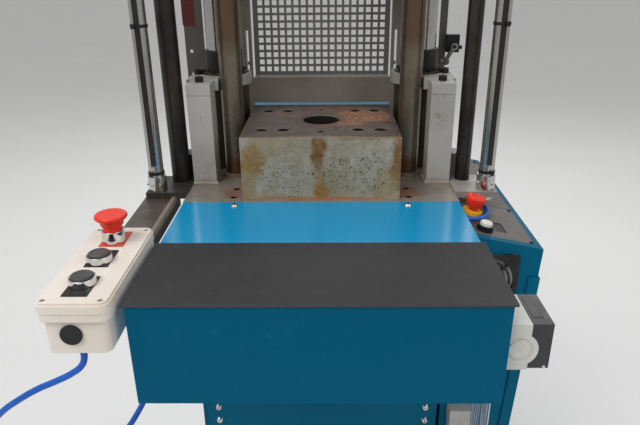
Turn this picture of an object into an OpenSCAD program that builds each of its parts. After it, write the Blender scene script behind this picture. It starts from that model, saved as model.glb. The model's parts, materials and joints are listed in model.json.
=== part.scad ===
// Vertical injection moulding press with two tie bars, pull-down cylinders and a top injection unit.
// Origin on the floor under the clamp axis, +X to the right, +Y to the back, +Z up.

/* [Base] */
// Height of the lower platen's top face above the floor
table_h = 1000; // [960:10:1040]
// Width of the base cabinet
base_w = 424; // [422:1:430]
// How far the base cabinet's front lies ahead of the tie bars
base_front = 130; // [124:1:134]
// How far the base cabinet's back lies behind the tie bars
base_back = 437; // [420:1:450]
// Wall of the base cabinet
base_wall = 4; // [3:0.5:4]
// Thickness of the base cabinet's top plate
base_top_t = 12; // [8:1:16]
// Height of the levelling feet
foot_h = 60; // [50:1:80]
// Distance of the feet from the cabinet's corners
foot_inset = 42; // [36:1:60]
// Radius of a foot's pad
foot_r = 30; // [22:1:34]
// Width of the lower front cover
apron_w = 366; // [340:1:370]
// How far the lower front cover and the console reach ahead of the tie bars
apron_front = 215; // [205:1:220]
// Sheet thickness of the covers
sheet_t = 2; // [1.5:0.5:2.5]
// Height of the oil tank's top plate above the cabinet floor
tank_h = 280; // [240:5:320]
// Radius of the pump motor
motor_r = 72; // [60:1:80]
// Length of the pump motor
motor_l = 230; // [200:5:240]

/* [Base door] */
// Depth of the door on the left side
door_d = 440; // [400:5:450]
// Height of the door on the left side
door_h = 660; // [600:5:680]
// Height of the door's lower edge
door_z = 160; // [150:5:180]
// Thickness of the doors
door_t = 3; // [2:0.5:3]
// Radius of the hinge knuckles
knuckle_r = 4; // [3.5:0.5:5]
// Radius of the hinge pins
pin_r = 2; // [1.5:0.5:2.5]

/* [Lower platen] */
// Thickness of the lower platen
platen_t = 70; // [60:1:80]
// How far the bare face of the platen reaches ahead of the tie bars
face_front = 132; // [130:1:135]
// Depth of the ledge that carries the top cover
ledge_d = 33; // [28:1:36]
// How far the platen reaches behind the tie bars
platen_back = 170; // [165:1:174]
// Distance between the tie bars' axes
bar_pitch = 290; // [289:0.5:291]
// Radius of a tie bar
bar_r = 18; // [17:0.5:18.5]
// Height of the tie bars above the platen
bar_h = 645; // [620:5:680]
// Radius of the collar round a tie bar
collar_r = 24; // [21:0.5:24.5]
// Sideways place of the tapped holes
tap_x = 135; // [130:1:140]
// Distance of the rear tapped holes ahead of the tie bars
tap_y = 76; // [70:1:80]
// Distance between the two tapped holes of a pair
tap_pitch = 36; // [30:1:38]
// Radius of a tapped hole
tap_r = 5.1; // [4.2:0.1:6]

/* [Mould block] */
// Width of the mould block
block_w = 240; // [220:1:240]
// Depth of the mould block
block_d = 210; // [190:1:212]
// Height of the mould block
block_h = 98; // [80:1:110]
// How far the block's middle lies ahead of the tie bars
block_shift = 17; // [15:1:18]
// How far the injection axis lies ahead of the tie bars
inject_shift = 18; // [15:1:20]
// Radius of the centre hole
centre_r = 29.5; // [25:0.5:32]
// Sideways place of the outer top holes
outer_x = 91; // [85:1:96]
// Sideways place of the inner top holes
inner_x = 57.5; // [50:0.5:62]
// Distance between the rows of top holes
row_pitch = 122; // [110:1:126]
// Radius of the top holes
top_hole_r = 9; // [6:0.5:10]
// Radius of the mould block's two pin holes
pin_hole_r = 5.5; // [4:0.5:7]

/* [Clamp cylinders] */
// Sideways place of the cylinders
cyl_x = 165; // [165:0.5:166]
// How far the cylinders stand behind the tie bars
cyl_y = 62; // [62:0.5:64]
// Outer radius of a cylinder barrel
cyl_r = 40; // [37:0.5:40]
// Bore radius of a cylinder barrel
cyl_bore = 33; // [32:0.5:34]
// Height of a barrel's top above the platen
cyl_h = 165; // [164:1:170]
// Radius of a piston rod
rod_r = 27; // [24:0.5:28]
// Outer radius of the black sleeve on the rod
sleeve_r = 31.5; // [30:0.5:31.5]
// Height of the sleeve above the barrel
sleeve_h = 35; // [25:1:36]
// Stroke of the clamp
clamp_stroke = 240; // [220:5:244]
// Width of a support post
post_w = 38; // [34:1:38]
// Depth of a support post
post_d = 40; // [36:1:42]
// Inner side of a support post
post_x = 171; // [170:0.5:172]
// How far a post's front lies ahead of the tie bars
post_front = 49; // [45:1:52]
// Height of a support post
post_h = 144; // [130:1:146]
// Thickness of the plate on a post and cylinder
clamp_t = 18; // [12:1:18]

/* [Covers] */
// How far the top cover's front lies ahead of the tie bars
cover_front = 428; // [410:1:430]
// Height of the top cover's front
cover_h = 130; // [110:1:140]
// Sideways place of the top cover's screws
cover_screw_x = 129.6; // [120:0.1:135]
// Length of the mat from front to back
mat_d = 150; // [130:1:180]
// Thickness of the mat
mat_t = 3; // [2:0.5:4]
// How far the rear cover rises above the platen
rear_rise = 28; // [15:1:40]

/* [Rear guard] */
// Width of the guard between its uprights
guard_w = 248; // [246:1:250]
// How far the guard beam lies behind the tie bars
guard_y = 130; // [128:1:132]
// Depth of the guard beam
beam_d = 38; // [30:1:39]
// Height of the beam's lower edge above the platen
beam_z = 93; // [85:1:100]
// Height of the beam
beam_h = 46; // [40:1:50]
// Height of the guard above the platen
guard_h = 432; // [420:1:440]
// Pitch of the square holes
mesh_pitch = 13; // [12.5:0.5:14]
// Side of a square hole
mesh_hole = 8.5; // [7:0.5:9.5]

/* [Side bars and tubes] */
// Sideways place of the dark guide bars
side_bar_x = 232; // [230:1:234]
// How far the guide bars stand ahead of the tie bars
side_bar_y = 35; // [32:1:38]
// Radius of a guide bar
side_bar_r = 12; // [10:0.5:12]
// Radius of the left guide bar
left_bar_r = 15; // [12:0.5:15]
// Height of the guide bars above the arms
side_bar_h = 438; // [430:1:440]
// Sideways place of the light curtain tubes
tube_x = 260; // [258:1:264]
// How far the tubes stand ahead of the tie bars
tube_y = 80; // [76:1:82]
// Radius of a tube
tube_r = 11.5; // [10:0.5:11.5]
// Height of a tube's top above the platen
tube_top = 470; // [460:1:480]
// Thickness of the side arms
arm_t = 10; // [8:1:12]
// Width of the block behind each guide bar
foot_block_w = 18; // [14:1:24]
// Height of the block behind each guide bar
foot_block_h = 38; // [30:1:42]

/* [Control box] */
// Width of the control box's lid
box_w = 79; // [76:0.5:82]
// Length of the control box's lid
box_d = 193; // [188:1:196]
// Gap between the control box and the top cover
box_gap = 9.5; // [9:0.5:14]
// Height of the lid's top above the platen
lid_top = 15; // [12:1:18]
// Height of the lid
lid_h = 12.5; // [11:0.5:14]
// Height of the box below its lid
box_h = 51.5; // [48:0.5:54]
// How far the box stands ahead of the top cover
box_ahead = 20; // [16:1:22]
// Pitch of the three operating heads
head_pitch = 53.5; // [52:0.5:54.5]
// Radius of a push button's ring
ring_r = 14.75; // [14:0.25:15.5]
// Radius of the emergency stop's head
stop_r = 20; // [18:0.5:21]

/* [Console] */
// Right end of the console's top edge
console_x = 314.5; // [312:0.5:316]
// Drop of the console's top edge below the platen
console_drop = 40; // [38:1:42]
// Height of the console
console_h = 580; // [560:5:600]
// How far the console's back lies behind the tie bars
console_back = 185; // [170:1:190]
// Slope of the console's top
top_slope = 11.9; // [11.5:0.1:12.2]
// Lean of the console's right side
side_lean = 3; // [2.5:0.5:3.5]
// Side of the square fan grille
grille = 86; // [80:1:88]

/* [Upper platen] */
// Width of the upper platen
upper_w = 410; // [400:1:410]
// Depth of the upper platen
upper_d = 205; // [200:1:210]
// Thickness of the upper platen
upper_t = 80; // [70:1:85]
// Daylight between the platens when open
daylight = 450; // [450:1:452]

/* [Injection unit] */
// Radius of the plasticising barrel
barrel_r = 32; // [30:0.5:33]
// Radius of the screw
screw_r = 14; // [12:0.5:15]
// Pitch of the screw's flight
flight_pitch = 28; // [24:1:32]
// Length of the barrel above its nozzle
barrel_l = 445; // [440:1:446]
// Length of the nozzle
nozzle_l = 70; // [60:1:72]
// Sideways place of the carriage rods
guide_x = 62; // [60:1:64]
// Radius of a carriage rod
guide_r = 14; // [12:0.5:14.5]
// Height of the injection housing
housing_h = 110; // [100:1:120]
// Injection stroke of the screw
inject_stroke = 90; // [80:1:90]
// Lift of the nozzle off the mould
carriage_lift = 80; // [70:1:80]
// Radius of the screw motor
spin_r = 40; // [36:1:41]
// Radius of the hopper
hopper_r = 75; // [65:1:78]
// Height of the hopper
hopper_h = 230; // [200:1:250]

/* [Hidden] */
$fn = 64;
teal = [0.02, 0.33, 0.44];
cream = [0.86, 0.83, 0.78];
steel = [0.55, 0.54, 0.50];
grey = [0.56, 0.55, 0.53];
dark = [0.13, 0.13, 0.14];
fit = 0.05;
slip = 0.2;
seat = 0.3;
T = table_h;
base_x = base_w / 2;
platen_w = base_w - 4;
cover_w = base_w - 6;
base_top = T - platen_t;
bar_x = bar_pitch / 2;
bar_hole = bar_r + slip;
nut_r = bar_r + 6.5;
nut_h = 28;
stud_r = 8;
ledge_y = face_front + ledge_d;
screw_y = face_front + 14;
screw_hole = 3.3;
screw_head_r = 5.5;
apron_top = base_top - 5;
apron_z = foot_h + 40;
apron_screw_x = apron_w / 2 - 18;
apron_screw_z = [T - 320, T - 346, T - 600, apron_z + 30];
door_y1 = 380;
door_y0 = door_y1 - door_d;
door_axis_x = -base_x - seat - knuckle_r;
door_axis_y = door_y1 + knuckle_r + 2;
cyl_bottom_t = 15;
head_plug = 30;
piston_t = 20;
piston_top = cyl_h - head_plug - 2;
cyl_bottom = piston_top - piston_t - clamp_stroke - 8 - cyl_bottom_t;
ring_clear = bar_r + 0.8;
plate_top = post_h + clamp_t;
upright_w = 18;
upright_t = 4;
upright_front = cyl_y + 43;
mesh_t = 1.5;
mesh_y = guard_y + beam_d - 6;
mesh_cols = floor((guard_w - 4) / mesh_pitch);
mesh_rows = floor((guard_h - beam_z - beam_h - 6) / mesh_pitch);
arm_top = 2;
arm_y1 = 12;
arm_x0 = platen_w / 2;
arm_x1 = tube_x + 16;
arm_y0 = tube_y + 17;
rail_x0 = platen_w / 2 - 6;
rail_w = 12;
rail_y = cyl_y + 38;
rail_t = 6;
cam_t = 3;
cam_w = 22;
switch_z = 202;
box_x1 = -cover_w / 2 - box_gap;
box_x = box_x1 - box_w / 2;
box_y0 = -cover_front - box_ahead;
box_y = box_y0 + box_d / 2;
lid_z = T + lid_top - lid_h;
base_in = 4.75;
box_wall = 3;
plate_t = 1;
head_y = [box_y + head_pitch, box_y, box_y - head_pitch];
plate_off = [5.5, 6, -6];
lid_hole = 11;
collar_top = 9.5;
stop_neck = 14;
stop_base = 17;
plunger_r = 6;
shaft_r = 5;
gland = [-275, -400];
gland_h = 20;
cord_r = 4;
panel_z = T - console_drop;
panel_dir = [cos(top_slope), 0, -sin(top_slope)];
console_x0 = base_x + 2;
console_front_x0 = apron_w / 2 + 5;
console_wall = 3;
under_top = console_wall * 1.4 + seat;
console_z0 = panel_z - console_h;
grille_x = 239;
grille_z = T - 90;
fan_r = grille / 2 - 5;
fan_y = -apron_front + console_wall + 14;
hub_r = 13;
door_top = 44;
cd_axis_x = seat + knuckle_r;
cd_axis_y = console_back - console_wall - knuckle_r - 2 * seat;
cd_len = console_h - 80;
stop2 = [-84.3, -122];
button2 = [-79, -183];
UZ = T + daylight;
UT = UZ + upper_t;
upper_y = -7.5;
inj_y = -inject_shift;
nozzle_z = UZ + 20;
barrel_z = nozzle_z + nozzle_l;
house_z = barrel_z + barrel_l - housing_h + 5;
house_top = house_z + housing_h;
house_w = 2 * (guide_x + 26);
stop_collar_r = min(guide_r + 6, guide_x - spin_r - 1);
house_d = 120;
feed_y = inj_y + 148;
feed_z = house_top - 35;
ram_y = 42;
ram_r = 10;
ram_h = 115;
drive_z = house_top + ram_h + 5;
drive_t = 40;
drive_top = drive_z + drive_t;
rod_top = drive_top + inject_stroke + carriage_lift + 20;
flight_z = barrel_z + 26;
flight_l = barrel_l - 36;
shank_r = screw_r - 2.1;
band_pitch = (barrel_l - 85) / 4;
band_h = 60;
lid_y = feed_y + hopper_r + 8;
hopper_top = house_top + hopper_h;
function console_z(x) = panel_z + (console_x - x) * tan(top_slope);

// Rounded rectangle about the origin
module rrect(w, d, r) {
    square([w - 2 * r, d], center = true);
    square([w, d - 2 * r], center = true);
    for (x = [-1, 1], y = [-1, 1])
        translate([x * (w / 2 - r), y * (d / 2 - r)]) circle(r);
}

// Box between two corners
module block(a, b) {
    translate(a) cube(b - a);
}

// The same shape on the right and on the left
module both() {
    children();
    mirror([1, 0, 0]) children();
}

// Upright tube or rod at x, y from z0 to z1
module rod(x, y, z0, z1, r) {
    translate([x, y, z0]) cylinder(r = r, h = z1 - z0);
}

// Steps of a smooth line through the points
function smooth(p, n) = [for (i = [0 : len(p) - 2], k = [0 : n - 1])
    let (a = p[max(i - 1, 0)], b = p[i], c = p[i + 1], d = p[min(i + 2, len(p) - 1)], t = k / n)
    (2 * b + (c - a) * t + (2 * a - 5 * b + 4 * c - d) * t * t
        + (3 * b - a - 3 * c + d) * t * t * t) / 2, p[len(p) - 1]];
function unit(v) = v / norm(v);
function along(p, i) = unit(p[min(i + 1, len(p) - 1)] - p[max(i - 1, 0)]);
function square_to(v, t) = unit(v - (v * t) * t);

// Closed tube swept along the points
module sweep(p, r, sides) {
    n = len(p);
    ups = [for (i = 0, u = square_to([0.31, 0.93, 0.2], along(p, 0)); i < n;
        i = i + 1, u = square_to(u, along(p, min(i, n - 1)))) u];
    pts = [for (i = [0 : n - 1], k = [0 : sides - 1])
        let (t = along(p, i), u = ups[i], w = cross(t, u), a = 360 * k / sides)
        p[i] + r * (cos(a) * u + sin(a) * w)];
    quads = [for (i = [0 : n - 2], k = [0 : sides - 1])
        let (m = (k + 1) % sides)
        [i * sides + k, (i + 1) * sides + k, (i + 1) * sides + m, i * sides + m]];
    polyhedron(concat(pts, [p[0], p[n - 1]]), concat(quads,
        [for (k = [0 : sides - 1]) [n * sides, k, (k + 1) % sides]],
        [for (k = [0 : sides - 1])
            [n * sides + 1, (n - 1) * sides + (k + 1) % sides, (n - 1) * sides + k]]));
}

// Fixed pin and end knuckles of a hinge, standing up from the origin
module hinge_pin(length, knuckle) {
    cylinder(r = pin_r, h = length);
    cylinder(r = knuckle_r, h = knuckle);
    translate([0, 0, length - knuckle]) cylinder(r = knuckle_r, h = knuckle);
}

module base_cabinet() {
    gap = base_wall + seat;
    color(teal) {
        difference() {
            block([-base_x, -base_front, foot_h], [base_x, base_back, foot_h + base_wall]);
            for (y = [-base_front + foot_inset, base_back - foot_inset])
                both() rod(base_x - foot_inset, y, foot_h - 1, foot_h + base_wall + 1, stud_r + slip);
        }
        difference() {
            block([-base_x, -base_front, base_top - base_top_t], [base_x, base_back, base_top]);
            both() rod(bar_x, 0, base_top - base_top_t - 1, base_top + 1, nut_r + 1);
            both() rod(cyl_x, cyl_y, base_top - base_top_t - 1, base_top + 1, cyl_r + 0.6);
            rod(0, inj_y, base_top - base_top_t - 1, base_top + 1, 30);
        }
        difference() {
            block([-base_x, -base_front, foot_h + gap],
                [base_x, -base_front + base_wall, base_top - base_top_t - seat]);
            block([-apron_w / 2 + 30, -base_front - 1, door_z],
                [apron_w / 2 - 30, -base_front + base_wall + 1, door_z + door_h]);
        }
        block([-base_x, base_back - base_wall, foot_h + gap], [base_x, base_back, base_top - base_top_t - seat]);
        block([base_x - base_wall, -base_front + gap, foot_h + gap],
            [base_x, base_back - gap, base_top - base_top_t - seat]);
        difference() {
            block([-base_x, -base_front + gap, foot_h + gap],
                [-base_x + base_wall, base_back - gap, base_top - base_top_t - seat]);
            block([-base_x - 1, door_y0 + 15, door_z + 15],
                [-base_x + base_wall + 1, door_y1 - 15, door_z + door_h - 15]);
        }
        block([-base_x + gap, 150, foot_h + gap], [base_x - gap, 154, foot_h + base_wall + tank_h - 4 - seat]);
        difference() {
            block([-base_x + gap, 150, foot_h + base_wall + tank_h - 4],
                [base_x - gap, base_back - gap, foot_h + base_wall + tank_h]);
            rod(-base_x + 60, base_back - 60, foot_h + tank_h - 10, foot_h + tank_h + 10, 20);
        }
        for (z = [door_z + 60, door_z + door_h - 120])
            translate([door_axis_x, door_axis_y, z]) {
                hinge_pin(60, 14);
                for (k = [0, 46])
                    translate([0, 0, k]) block([knuckle_r * 0.6, -knuckle_r, 0],
                        [-base_x - door_axis_x, knuckle_r, 14]);
            }
    }
}

module base_door() {
    color(teal) difference() {
        union() {
            block([-base_x - seat - door_t, door_y0, door_z],
                [-base_x - seat, door_y1, door_z + door_h]);
            for (z = [door_z + 60, door_z + door_h - 120])
                translate([door_axis_x, door_axis_y, z + 14 + seat]) {
                    cylinder(r = knuckle_r, h = 32 - 2 * seat);
                    block([-door_t / 2, -knuckle_r - 32, 0], [door_t / 2, 0, 32 - 2 * seat]);
                }
            block([-base_x - seat - door_t - 22, door_y0 + 30, door_z + door_h / 2],
                [-base_x - seat - door_t - 16, door_y0 + 46, door_z + door_h / 2 + 120]);
            for (z = [0, 108])
                block([-base_x - seat - door_t - 22, door_y0 + 30, door_z + door_h / 2 + z],
                    [-base_x - seat - door_t, door_y0 + 46, door_z + door_h / 2 + z + 12]);
        }
        for (z = [door_z + 60, door_z + door_h - 120])
            rod(door_axis_x, door_axis_y, z, z + 60, pin_r + fit);
    }
}

// Tray of five sheets with its open side on the base
module lower_front_cover() {
    gap = sheet_t + seat;
    color(teal) {
        difference() {
            block([-apron_w / 2, -apron_front, apron_z], [apron_w / 2, -apron_front + sheet_t, apron_top]);
            for (z = apron_screw_z)
                both() translate([apron_screw_x, -apron_front - 1, z]) rotate([-90, 0, 0])
                    cylinder(r = screw_hole, h = sheet_t + 2);
        }
        for (z = [apron_z, apron_top - sheet_t])
            block([-apron_w / 2, -apron_front + gap, z], [apron_w / 2, -base_front, z + sheet_t]);
        for (side = [-1, 1])
            block([side * (apron_w / 2 - sheet_t / 2) - sheet_t / 2, -apron_front + gap, apron_z + gap],
                [side * (apron_w / 2 - sheet_t / 2) + sheet_t / 2, -base_front, apron_top - gap]);
    }
}

// Button-head screw with its head up from the origin and its shank below
module button_screw(shank) {
    difference() {
        union() {
            cylinder(r1 = screw_head_r, r2 = screw_head_r - 1.6, h = 2.8);
            translate([0, 0, -shank]) cylinder(r = 2.9, h = shank + 0.1);
        }
        translate([0, 0, 1]) cylinder(r = 2, h = 3, $fn = 6);
    }
}

module cover_screws() {
    color("silver") both() {
        translate([cover_screw_x, -screw_y, T]) button_screw(12);
        for (z = apron_screw_z)
            translate([apron_screw_x, -apron_front, z]) rotate([90, 0, 0]) button_screw(10);
    }
}

module levelling_feet() {
    color(dark) for (y = [-base_front + foot_inset, base_back - foot_inset])
        both() {
            rod(base_x - foot_inset, y, 0, 12, foot_r);
            rod(base_x - foot_inset, y, 12, foot_h + base_wall + 20, stud_r);
            translate([base_x - foot_inset, y, foot_h - 12]) cylinder(r = 15, h = 12, $fn = 6);
        }
}

module pump_motor() {
    z = foot_h + base_wall + tank_h;
    y0 = base_back - 60 - motor_l;
    color("dimgray") {
        translate([40, y0, z + 10 + motor_r]) rotate([-90, 0, 0]) cylinder(r = motor_r, h = motor_l);
        for (i = [0 : 7])
            translate([40, y0 + 30 + i * (motor_l - 70) / 7, z + 10 + motor_r])
                rotate([-90, 0, 0]) cylinder(r = motor_r + 5, h = 4);
        block([40 - motor_r, y0 + 20, z], [40 + motor_r, y0 + motor_l - 20, z + 20]);
        block([40 - 30, y0 + 40, z + 10 + 2 * motor_r - 6],
            [40 + 30, y0 + 110, z + 10 + 2 * motor_r + 30]);
    }
}

module lower_platen() {
    color(steel) {
        difference() {
            block([-platen_w / 2, -ledge_y, base_top], [platen_w / 2, platen_back, T]);
            block([-platen_w / 2 - 1, -ledge_y - 1, T - sheet_t], [platen_w / 2 + 1, -face_front, T + 1]);
            both() {
                rod(bar_x, 0, base_top - 1, T + 1, bar_hole);
                rod(cyl_x, cyl_y, base_top - 1, T + 1, cyl_r + slip);
                for (y = [tap_y, tap_y + tap_pitch])
                    rod(tap_x, -y, T - 25, T + 1, tap_r);
                rod(cover_screw_x, -screw_y, T - 16, T + 1, 3);
            }
            rod(0, inj_y, base_top - 1, T + 1, centre_r - 4);
        }
        both() difference() {
            rod(bar_x, 0, T, T + 6, collar_r);
            rod(bar_x, 0, T - 1, T + 7, bar_hole);
        }
    }
}

module mould_block() {
    row_front = -block_shift - row_pitch / 2;
    color("rosybrown") difference() {
        block([-block_w / 2, -block_shift - block_d / 2, T],
            [block_w / 2, -block_shift + block_d / 2, T + block_h]);
        rod(0, inj_y, T - 1, T + block_h + 1, centre_r);
        for (y = [row_front, row_front + row_pitch])
            both() {
                rod(outer_x, y, T + block_h - 30, T + block_h + 1, top_hole_r);
                rod(inner_x, y, T + block_h - 30, T + block_h + 1, top_hole_r);
            }
        for (y = [-1, 1])
            rod(0, -block_shift + y * 70, T + block_h - 20, T + block_h + 1, pin_hole_r);
    }
}

module tie_bars() {
    color("darkkhaki") both() {
        rod(bar_x, 0, base_top - nut_h - 4, T + bar_h, bar_r);
    }
}

module tie_bar_nuts() {
    color(dark) both()
        for (z = [base_top - nut_h, T + bar_h - nut_h - 6])
            difference() {
                rod(bar_x, 0, z, z + nut_h, nut_r);
                rod(bar_x, 0, z - 1, z + nut_h + 1, bar_r + fit);
                for (a = [0, 90])
                    translate([bar_x, 0, z - 1]) rotate([0, 0, a])
                        both() block([nut_r - 2.5, -4, 0], [nut_r + 1, 4, nut_h + 2]);
            }
}

module top_cover() {
    y1 = -apron_front - 10;
    color(teal) difference() {
        union() {
            block([-cover_w / 2, -cover_front, T - sheet_t], [cover_w / 2, -face_front, T]);
            block([-cover_w / 2, -cover_front, T - cover_h], [cover_w / 2, -cover_front + sheet_t, T]);
            block([-cover_w / 2, -cover_front, T - cover_h],
                [cover_w / 2, -cover_front + 14, T - cover_h + sheet_t]);
            both() block([cover_w / 2 - sheet_t, -cover_front, T - cover_h], [cover_w / 2, y1, T]);
        }
        both() rod(cover_screw_x, -screw_y, T - sheet_t - 1, T + 1, screw_hole);
    }
}

module rubber_mat() {
    color(dark) difference() {
        block([-cover_w / 2 - 2, -cover_front - 2, T], [cover_w / 2 + 2, -cover_front + mat_d, T + mat_t]);
        for (y = [3 : 4 : mat_d - 2])
            block([-cover_w / 2 - 3, -cover_front + y, T + mat_t - 0.8],
                [cover_w / 2 + 3, -cover_front + y + 1.6, T + mat_t + 1]);
    }
}

module cylinder_barrels() {
    color("darkolivegreen") both() difference() {
        rod(cyl_x, cyl_y, T + cyl_bottom, T + cyl_h, cyl_r);
        rod(cyl_x, cyl_y, T + cyl_bottom + cyl_bottom_t, T + cyl_h + 1, cyl_bore);
        translate([cyl_x, cyl_y, T + cyl_h - 28]) rotate_extrude()
            translate([cyl_r - 0.6, 0]) square([2, 2]);
    }
}

module cylinder_heads() {
    color(dark) both() difference() {
        union() {
            rod(cyl_x, cyl_y, T + cyl_h - head_plug, T + cyl_h + 0.5, cyl_bore - 0.1);
            rod(cyl_x, cyl_y, T + cyl_h, T + cyl_h + sleeve_h, sleeve_r);
        }
        rod(cyl_x, cyl_y, T + cyl_h - head_plug - 1, T + cyl_h + sleeve_h + 1, rod_r + fit);
    }
}

module cylinder_rods() {
    color("silver") both() {
        rod(cyl_x, cyl_y, T + piston_top - piston_t, T + piston_top, cyl_bore - 0.08);
        rod(cyl_x, cyl_y, T + piston_top - 1, UZ, rod_r);
        rod(cyl_x, cyl_y, UZ - 1, UT + 30, 16);
        translate([cyl_x, cyl_y, UT]) cylinder(r = 27, h = 22, $fn = 6);
    }
}

module support_posts() {
    color(grey) both()
        block([post_x, -post_front, T], [post_x + post_w, -post_front + post_d, T + post_h]);
}

module clamp_plates() {
    color(grey) both() translate([0, 0, T + post_h]) linear_extrude(clamp_t) difference() {
        union() {
            translate([post_x, -post_front]) square([post_w, post_d + 10]);
            translate([cyl_x, cyl_y]) circle(cyl_r + 6);
            translate([cyl_x, -post_front + post_d]) square([post_x + post_w + 7 - cyl_x, cyl_y + 20]);
        }
        translate([cyl_x, cyl_y]) circle(cyl_r + slip);
        translate([bar_x, 0]) circle(ring_clear);
    }
}

module clamp_bolts() {
    color(dark) both() for (p = [[post_x + 20, -post_front + 22], [post_x + 35, cyl_y - 22]])
        translate([p[0], p[1], T + plate_top]) difference() {
            cylinder(r = 6.5, h = 8);
            translate([0, 0, 3]) cylinder(r = 3.4, h = 6, $fn = 6);
        }
}

module rear_guard_frame() {
    color(grey) {
        both() difference() {
            union() {
                block([guard_w / 2, guard_y - 2, T], [guard_w / 2 + upright_w, guard_y + upright_t - 2, T + guard_h]);
                block([guard_w / 2 + upright_w - upright_t, upright_front, T],
                    [guard_w / 2 + upright_w, guard_y + beam_d, T + guard_h]);
            }
            block([guard_w / 2 + 6, guard_y - 3, T + 150], [guard_w / 2 + 11, guard_y + upright_t, T + 222]);
        }
        difference() {
            block([-guard_w / 2, guard_y, T + beam_z], [guard_w / 2, guard_y + beam_d, T + beam_z + beam_h]);
            block([-guard_w / 2 - 1, guard_y + 3, T + beam_z - 1],
                [guard_w / 2 + 1, guard_y + beam_d - 3, T + beam_z + beam_h - 3]);
        }
    }
}

module perforated_guard() {
    x0 = -(mesh_cols * mesh_pitch) / 2 + (mesh_pitch - mesh_hole) / 2;
    h = guard_h - beam_z - beam_h;
    z0 = (h - mesh_rows * mesh_pitch) / 2 + (mesh_pitch - mesh_hole) / 2;
    color("gray") translate([0, mesh_y + mesh_t, T + beam_z + beam_h]) rotate([90, 0, 0])
        linear_extrude(mesh_t) difference() {
            translate([-guard_w / 2, 0]) square([guard_w, h]);
            for (i = [0 : mesh_cols - 1], j = [0 : mesh_rows - 1])
                translate([x0 + i * mesh_pitch, z0 + j * mesh_pitch]) square(mesh_hole);
        }
}

module rear_cover() {
    y0 = platen_back + 6;
    color(teal) difference() {
        block([-base_x + 5, y0, base_top], [base_x - 5, base_back, T + rear_rise]);
        block([-base_x + 5 + sheet_t, y0 + sheet_t, base_top - 1],
            [base_x - 5 - sheet_t, base_back - sheet_t, T + rear_rise - sheet_t]);
    }
}

module side_arms() {
    color(grey) both() {
        difference() {
            block([arm_x0, -arm_y0, T + arm_top - arm_t], [arm_x1, arm_y1, T + arm_top]);
            rod(tube_x, -tube_y, T - arm_t - 5, T + 5, 8 + slip);
            block([side_bar_x + left_bar_r + 2, -side_bar_y + left_bar_r + 3, T - arm_t - 5],
                [arm_x1 + 1, arm_y1 + 1, T + arm_top + 1]);
        }
        block([arm_x0, -side_bar_y + left_bar_r + 1, T + arm_top],
            [arm_x0 + foot_block_w, arm_y1, T + arm_top + foot_block_h]);
    }
}

module guide_bars() {
    top = T + arm_top + side_bar_h;
    color([0.2, 0.19, 0.18]) {
        rod(side_bar_x, -side_bar_y, T + arm_top, top, side_bar_r);
        rod(-side_bar_x, -side_bar_y, T + arm_top, top, left_bar_r);
        both() difference() {
            block([side_bar_x - left_bar_r - 3, -arm_y0, top], [arm_x1, -side_bar_y + left_bar_r + 3, top + arm_t]);
            rod(tube_x, -tube_y, top - 1, top + arm_t + 1, tube_r + fit);
        }
    }
}

module curtain_tubes() {
    color("silver") both() {
        difference() {
            rod(tube_x, -tube_y, T + arm_top + 10, T + tube_top, tube_r);
            translate([tube_x - 4, -tube_y - tube_r - 1, T + arm_top + 40])
                cube([8, 3, side_bar_h - 60]);
        }
    }
}

module tube_fittings() {
    color("silver") both() difference() {
        union() {
            rod(tube_x, -tube_y, T + arm_top, T + arm_top + 24, tube_r + 2.8);
            rod(tube_x, -tube_y, T - 16, T + arm_top + 1, 8);
        }
        rod(tube_x, -tube_y, T + arm_top + 10, T + arm_top + 25, tube_r + fit);
    }
}

module switch_rails() {
    color("gray") {
        both() block([rail_x0, rail_y, T], [rail_x0 + rail_w, rail_y + rail_t, T + guard_h]);
        difference() {
            union() {
                block([-rail_x0 - rail_w - cam_w, rail_y + rail_t, T],
                    [-rail_x0 - rail_w - 1, rail_y + rail_t + cam_t, T + guard_h]);
                block([-rail_x0 - rail_w - cam_w, rail_y + rail_t, T],
                    [-rail_x0 + 4, rail_y + rail_t + cam_t, T + 25]);
            }
            for (z = [70 : 40 : 210])
                translate([-rail_x0 - rail_w - 12, rail_y + rail_t - 1, T + z]) rotate([-90, 0, 0])
                    cylinder(r = 3, h = cam_t + 2);
        }
        block([-rail_x0 - rail_w - cam_w - 1, rail_y + rail_t - 2, T + 234],
            [-rail_x0 - rail_w - 1, rail_y + rail_t, T + guard_h]);
    }
}

module limit_switch() {
    x0 = rail_x0 + rail_w;
    color(dark) {
        block([x0, rail_y - 8, T + switch_z - 15], [x0 + 22, rail_y + rail_t, T + switch_z + 15]);
        translate([x0 + 12, rail_y - 20, T + switch_z - 4]) rotate([-90, 0, 0]) cylinder(r = 3, h = 13);
        block([x0 + 22, rail_y - 4, T + switch_z - 10], [x0 + 28, rail_y + 2, T + switch_z - 4]);
    }
}

module switch_lever() {
    x0 = rail_x0 + rail_w;
    color("silver") translate([x0 + 12, rail_y - 18, T + switch_z - 4]) difference() {
        union() {
            rotate([-90, 0, 0]) cylinder(r = 6, h = 5);
            rotate([0, 30, 0]) {
                block([-3, 0, -28], [3, 5, 0]);
                translate([0, -4, -28]) rotate([-90, 0, 0]) cylinder(r = 6, h = 9);
            }
        }
        translate([0, -1, 0]) rotate([-90, 0, 0]) cylinder(r = 3 + fit, h = 7);
    }
}

module control_arm() {
    x0 = box_x - 21;
    x1 = box_x + 21;
    z1 = T + arm_top - arm_t;
    y0 = box_y0 + box_d - base_in;
    color([0.25, 0.24, 0.22]) difference() {
        block([x0, y0, z1 - 34], [x1, -tube_y + 40, z1]);
        block([x0 + 3, y0 - 1, z1 - 35], [x1 - 3, -tube_y + 41, z1 - 3]);
        rod(-tube_x, -tube_y, z1 - 4, z1 + 1, 8 + slip);
    }
}

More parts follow.
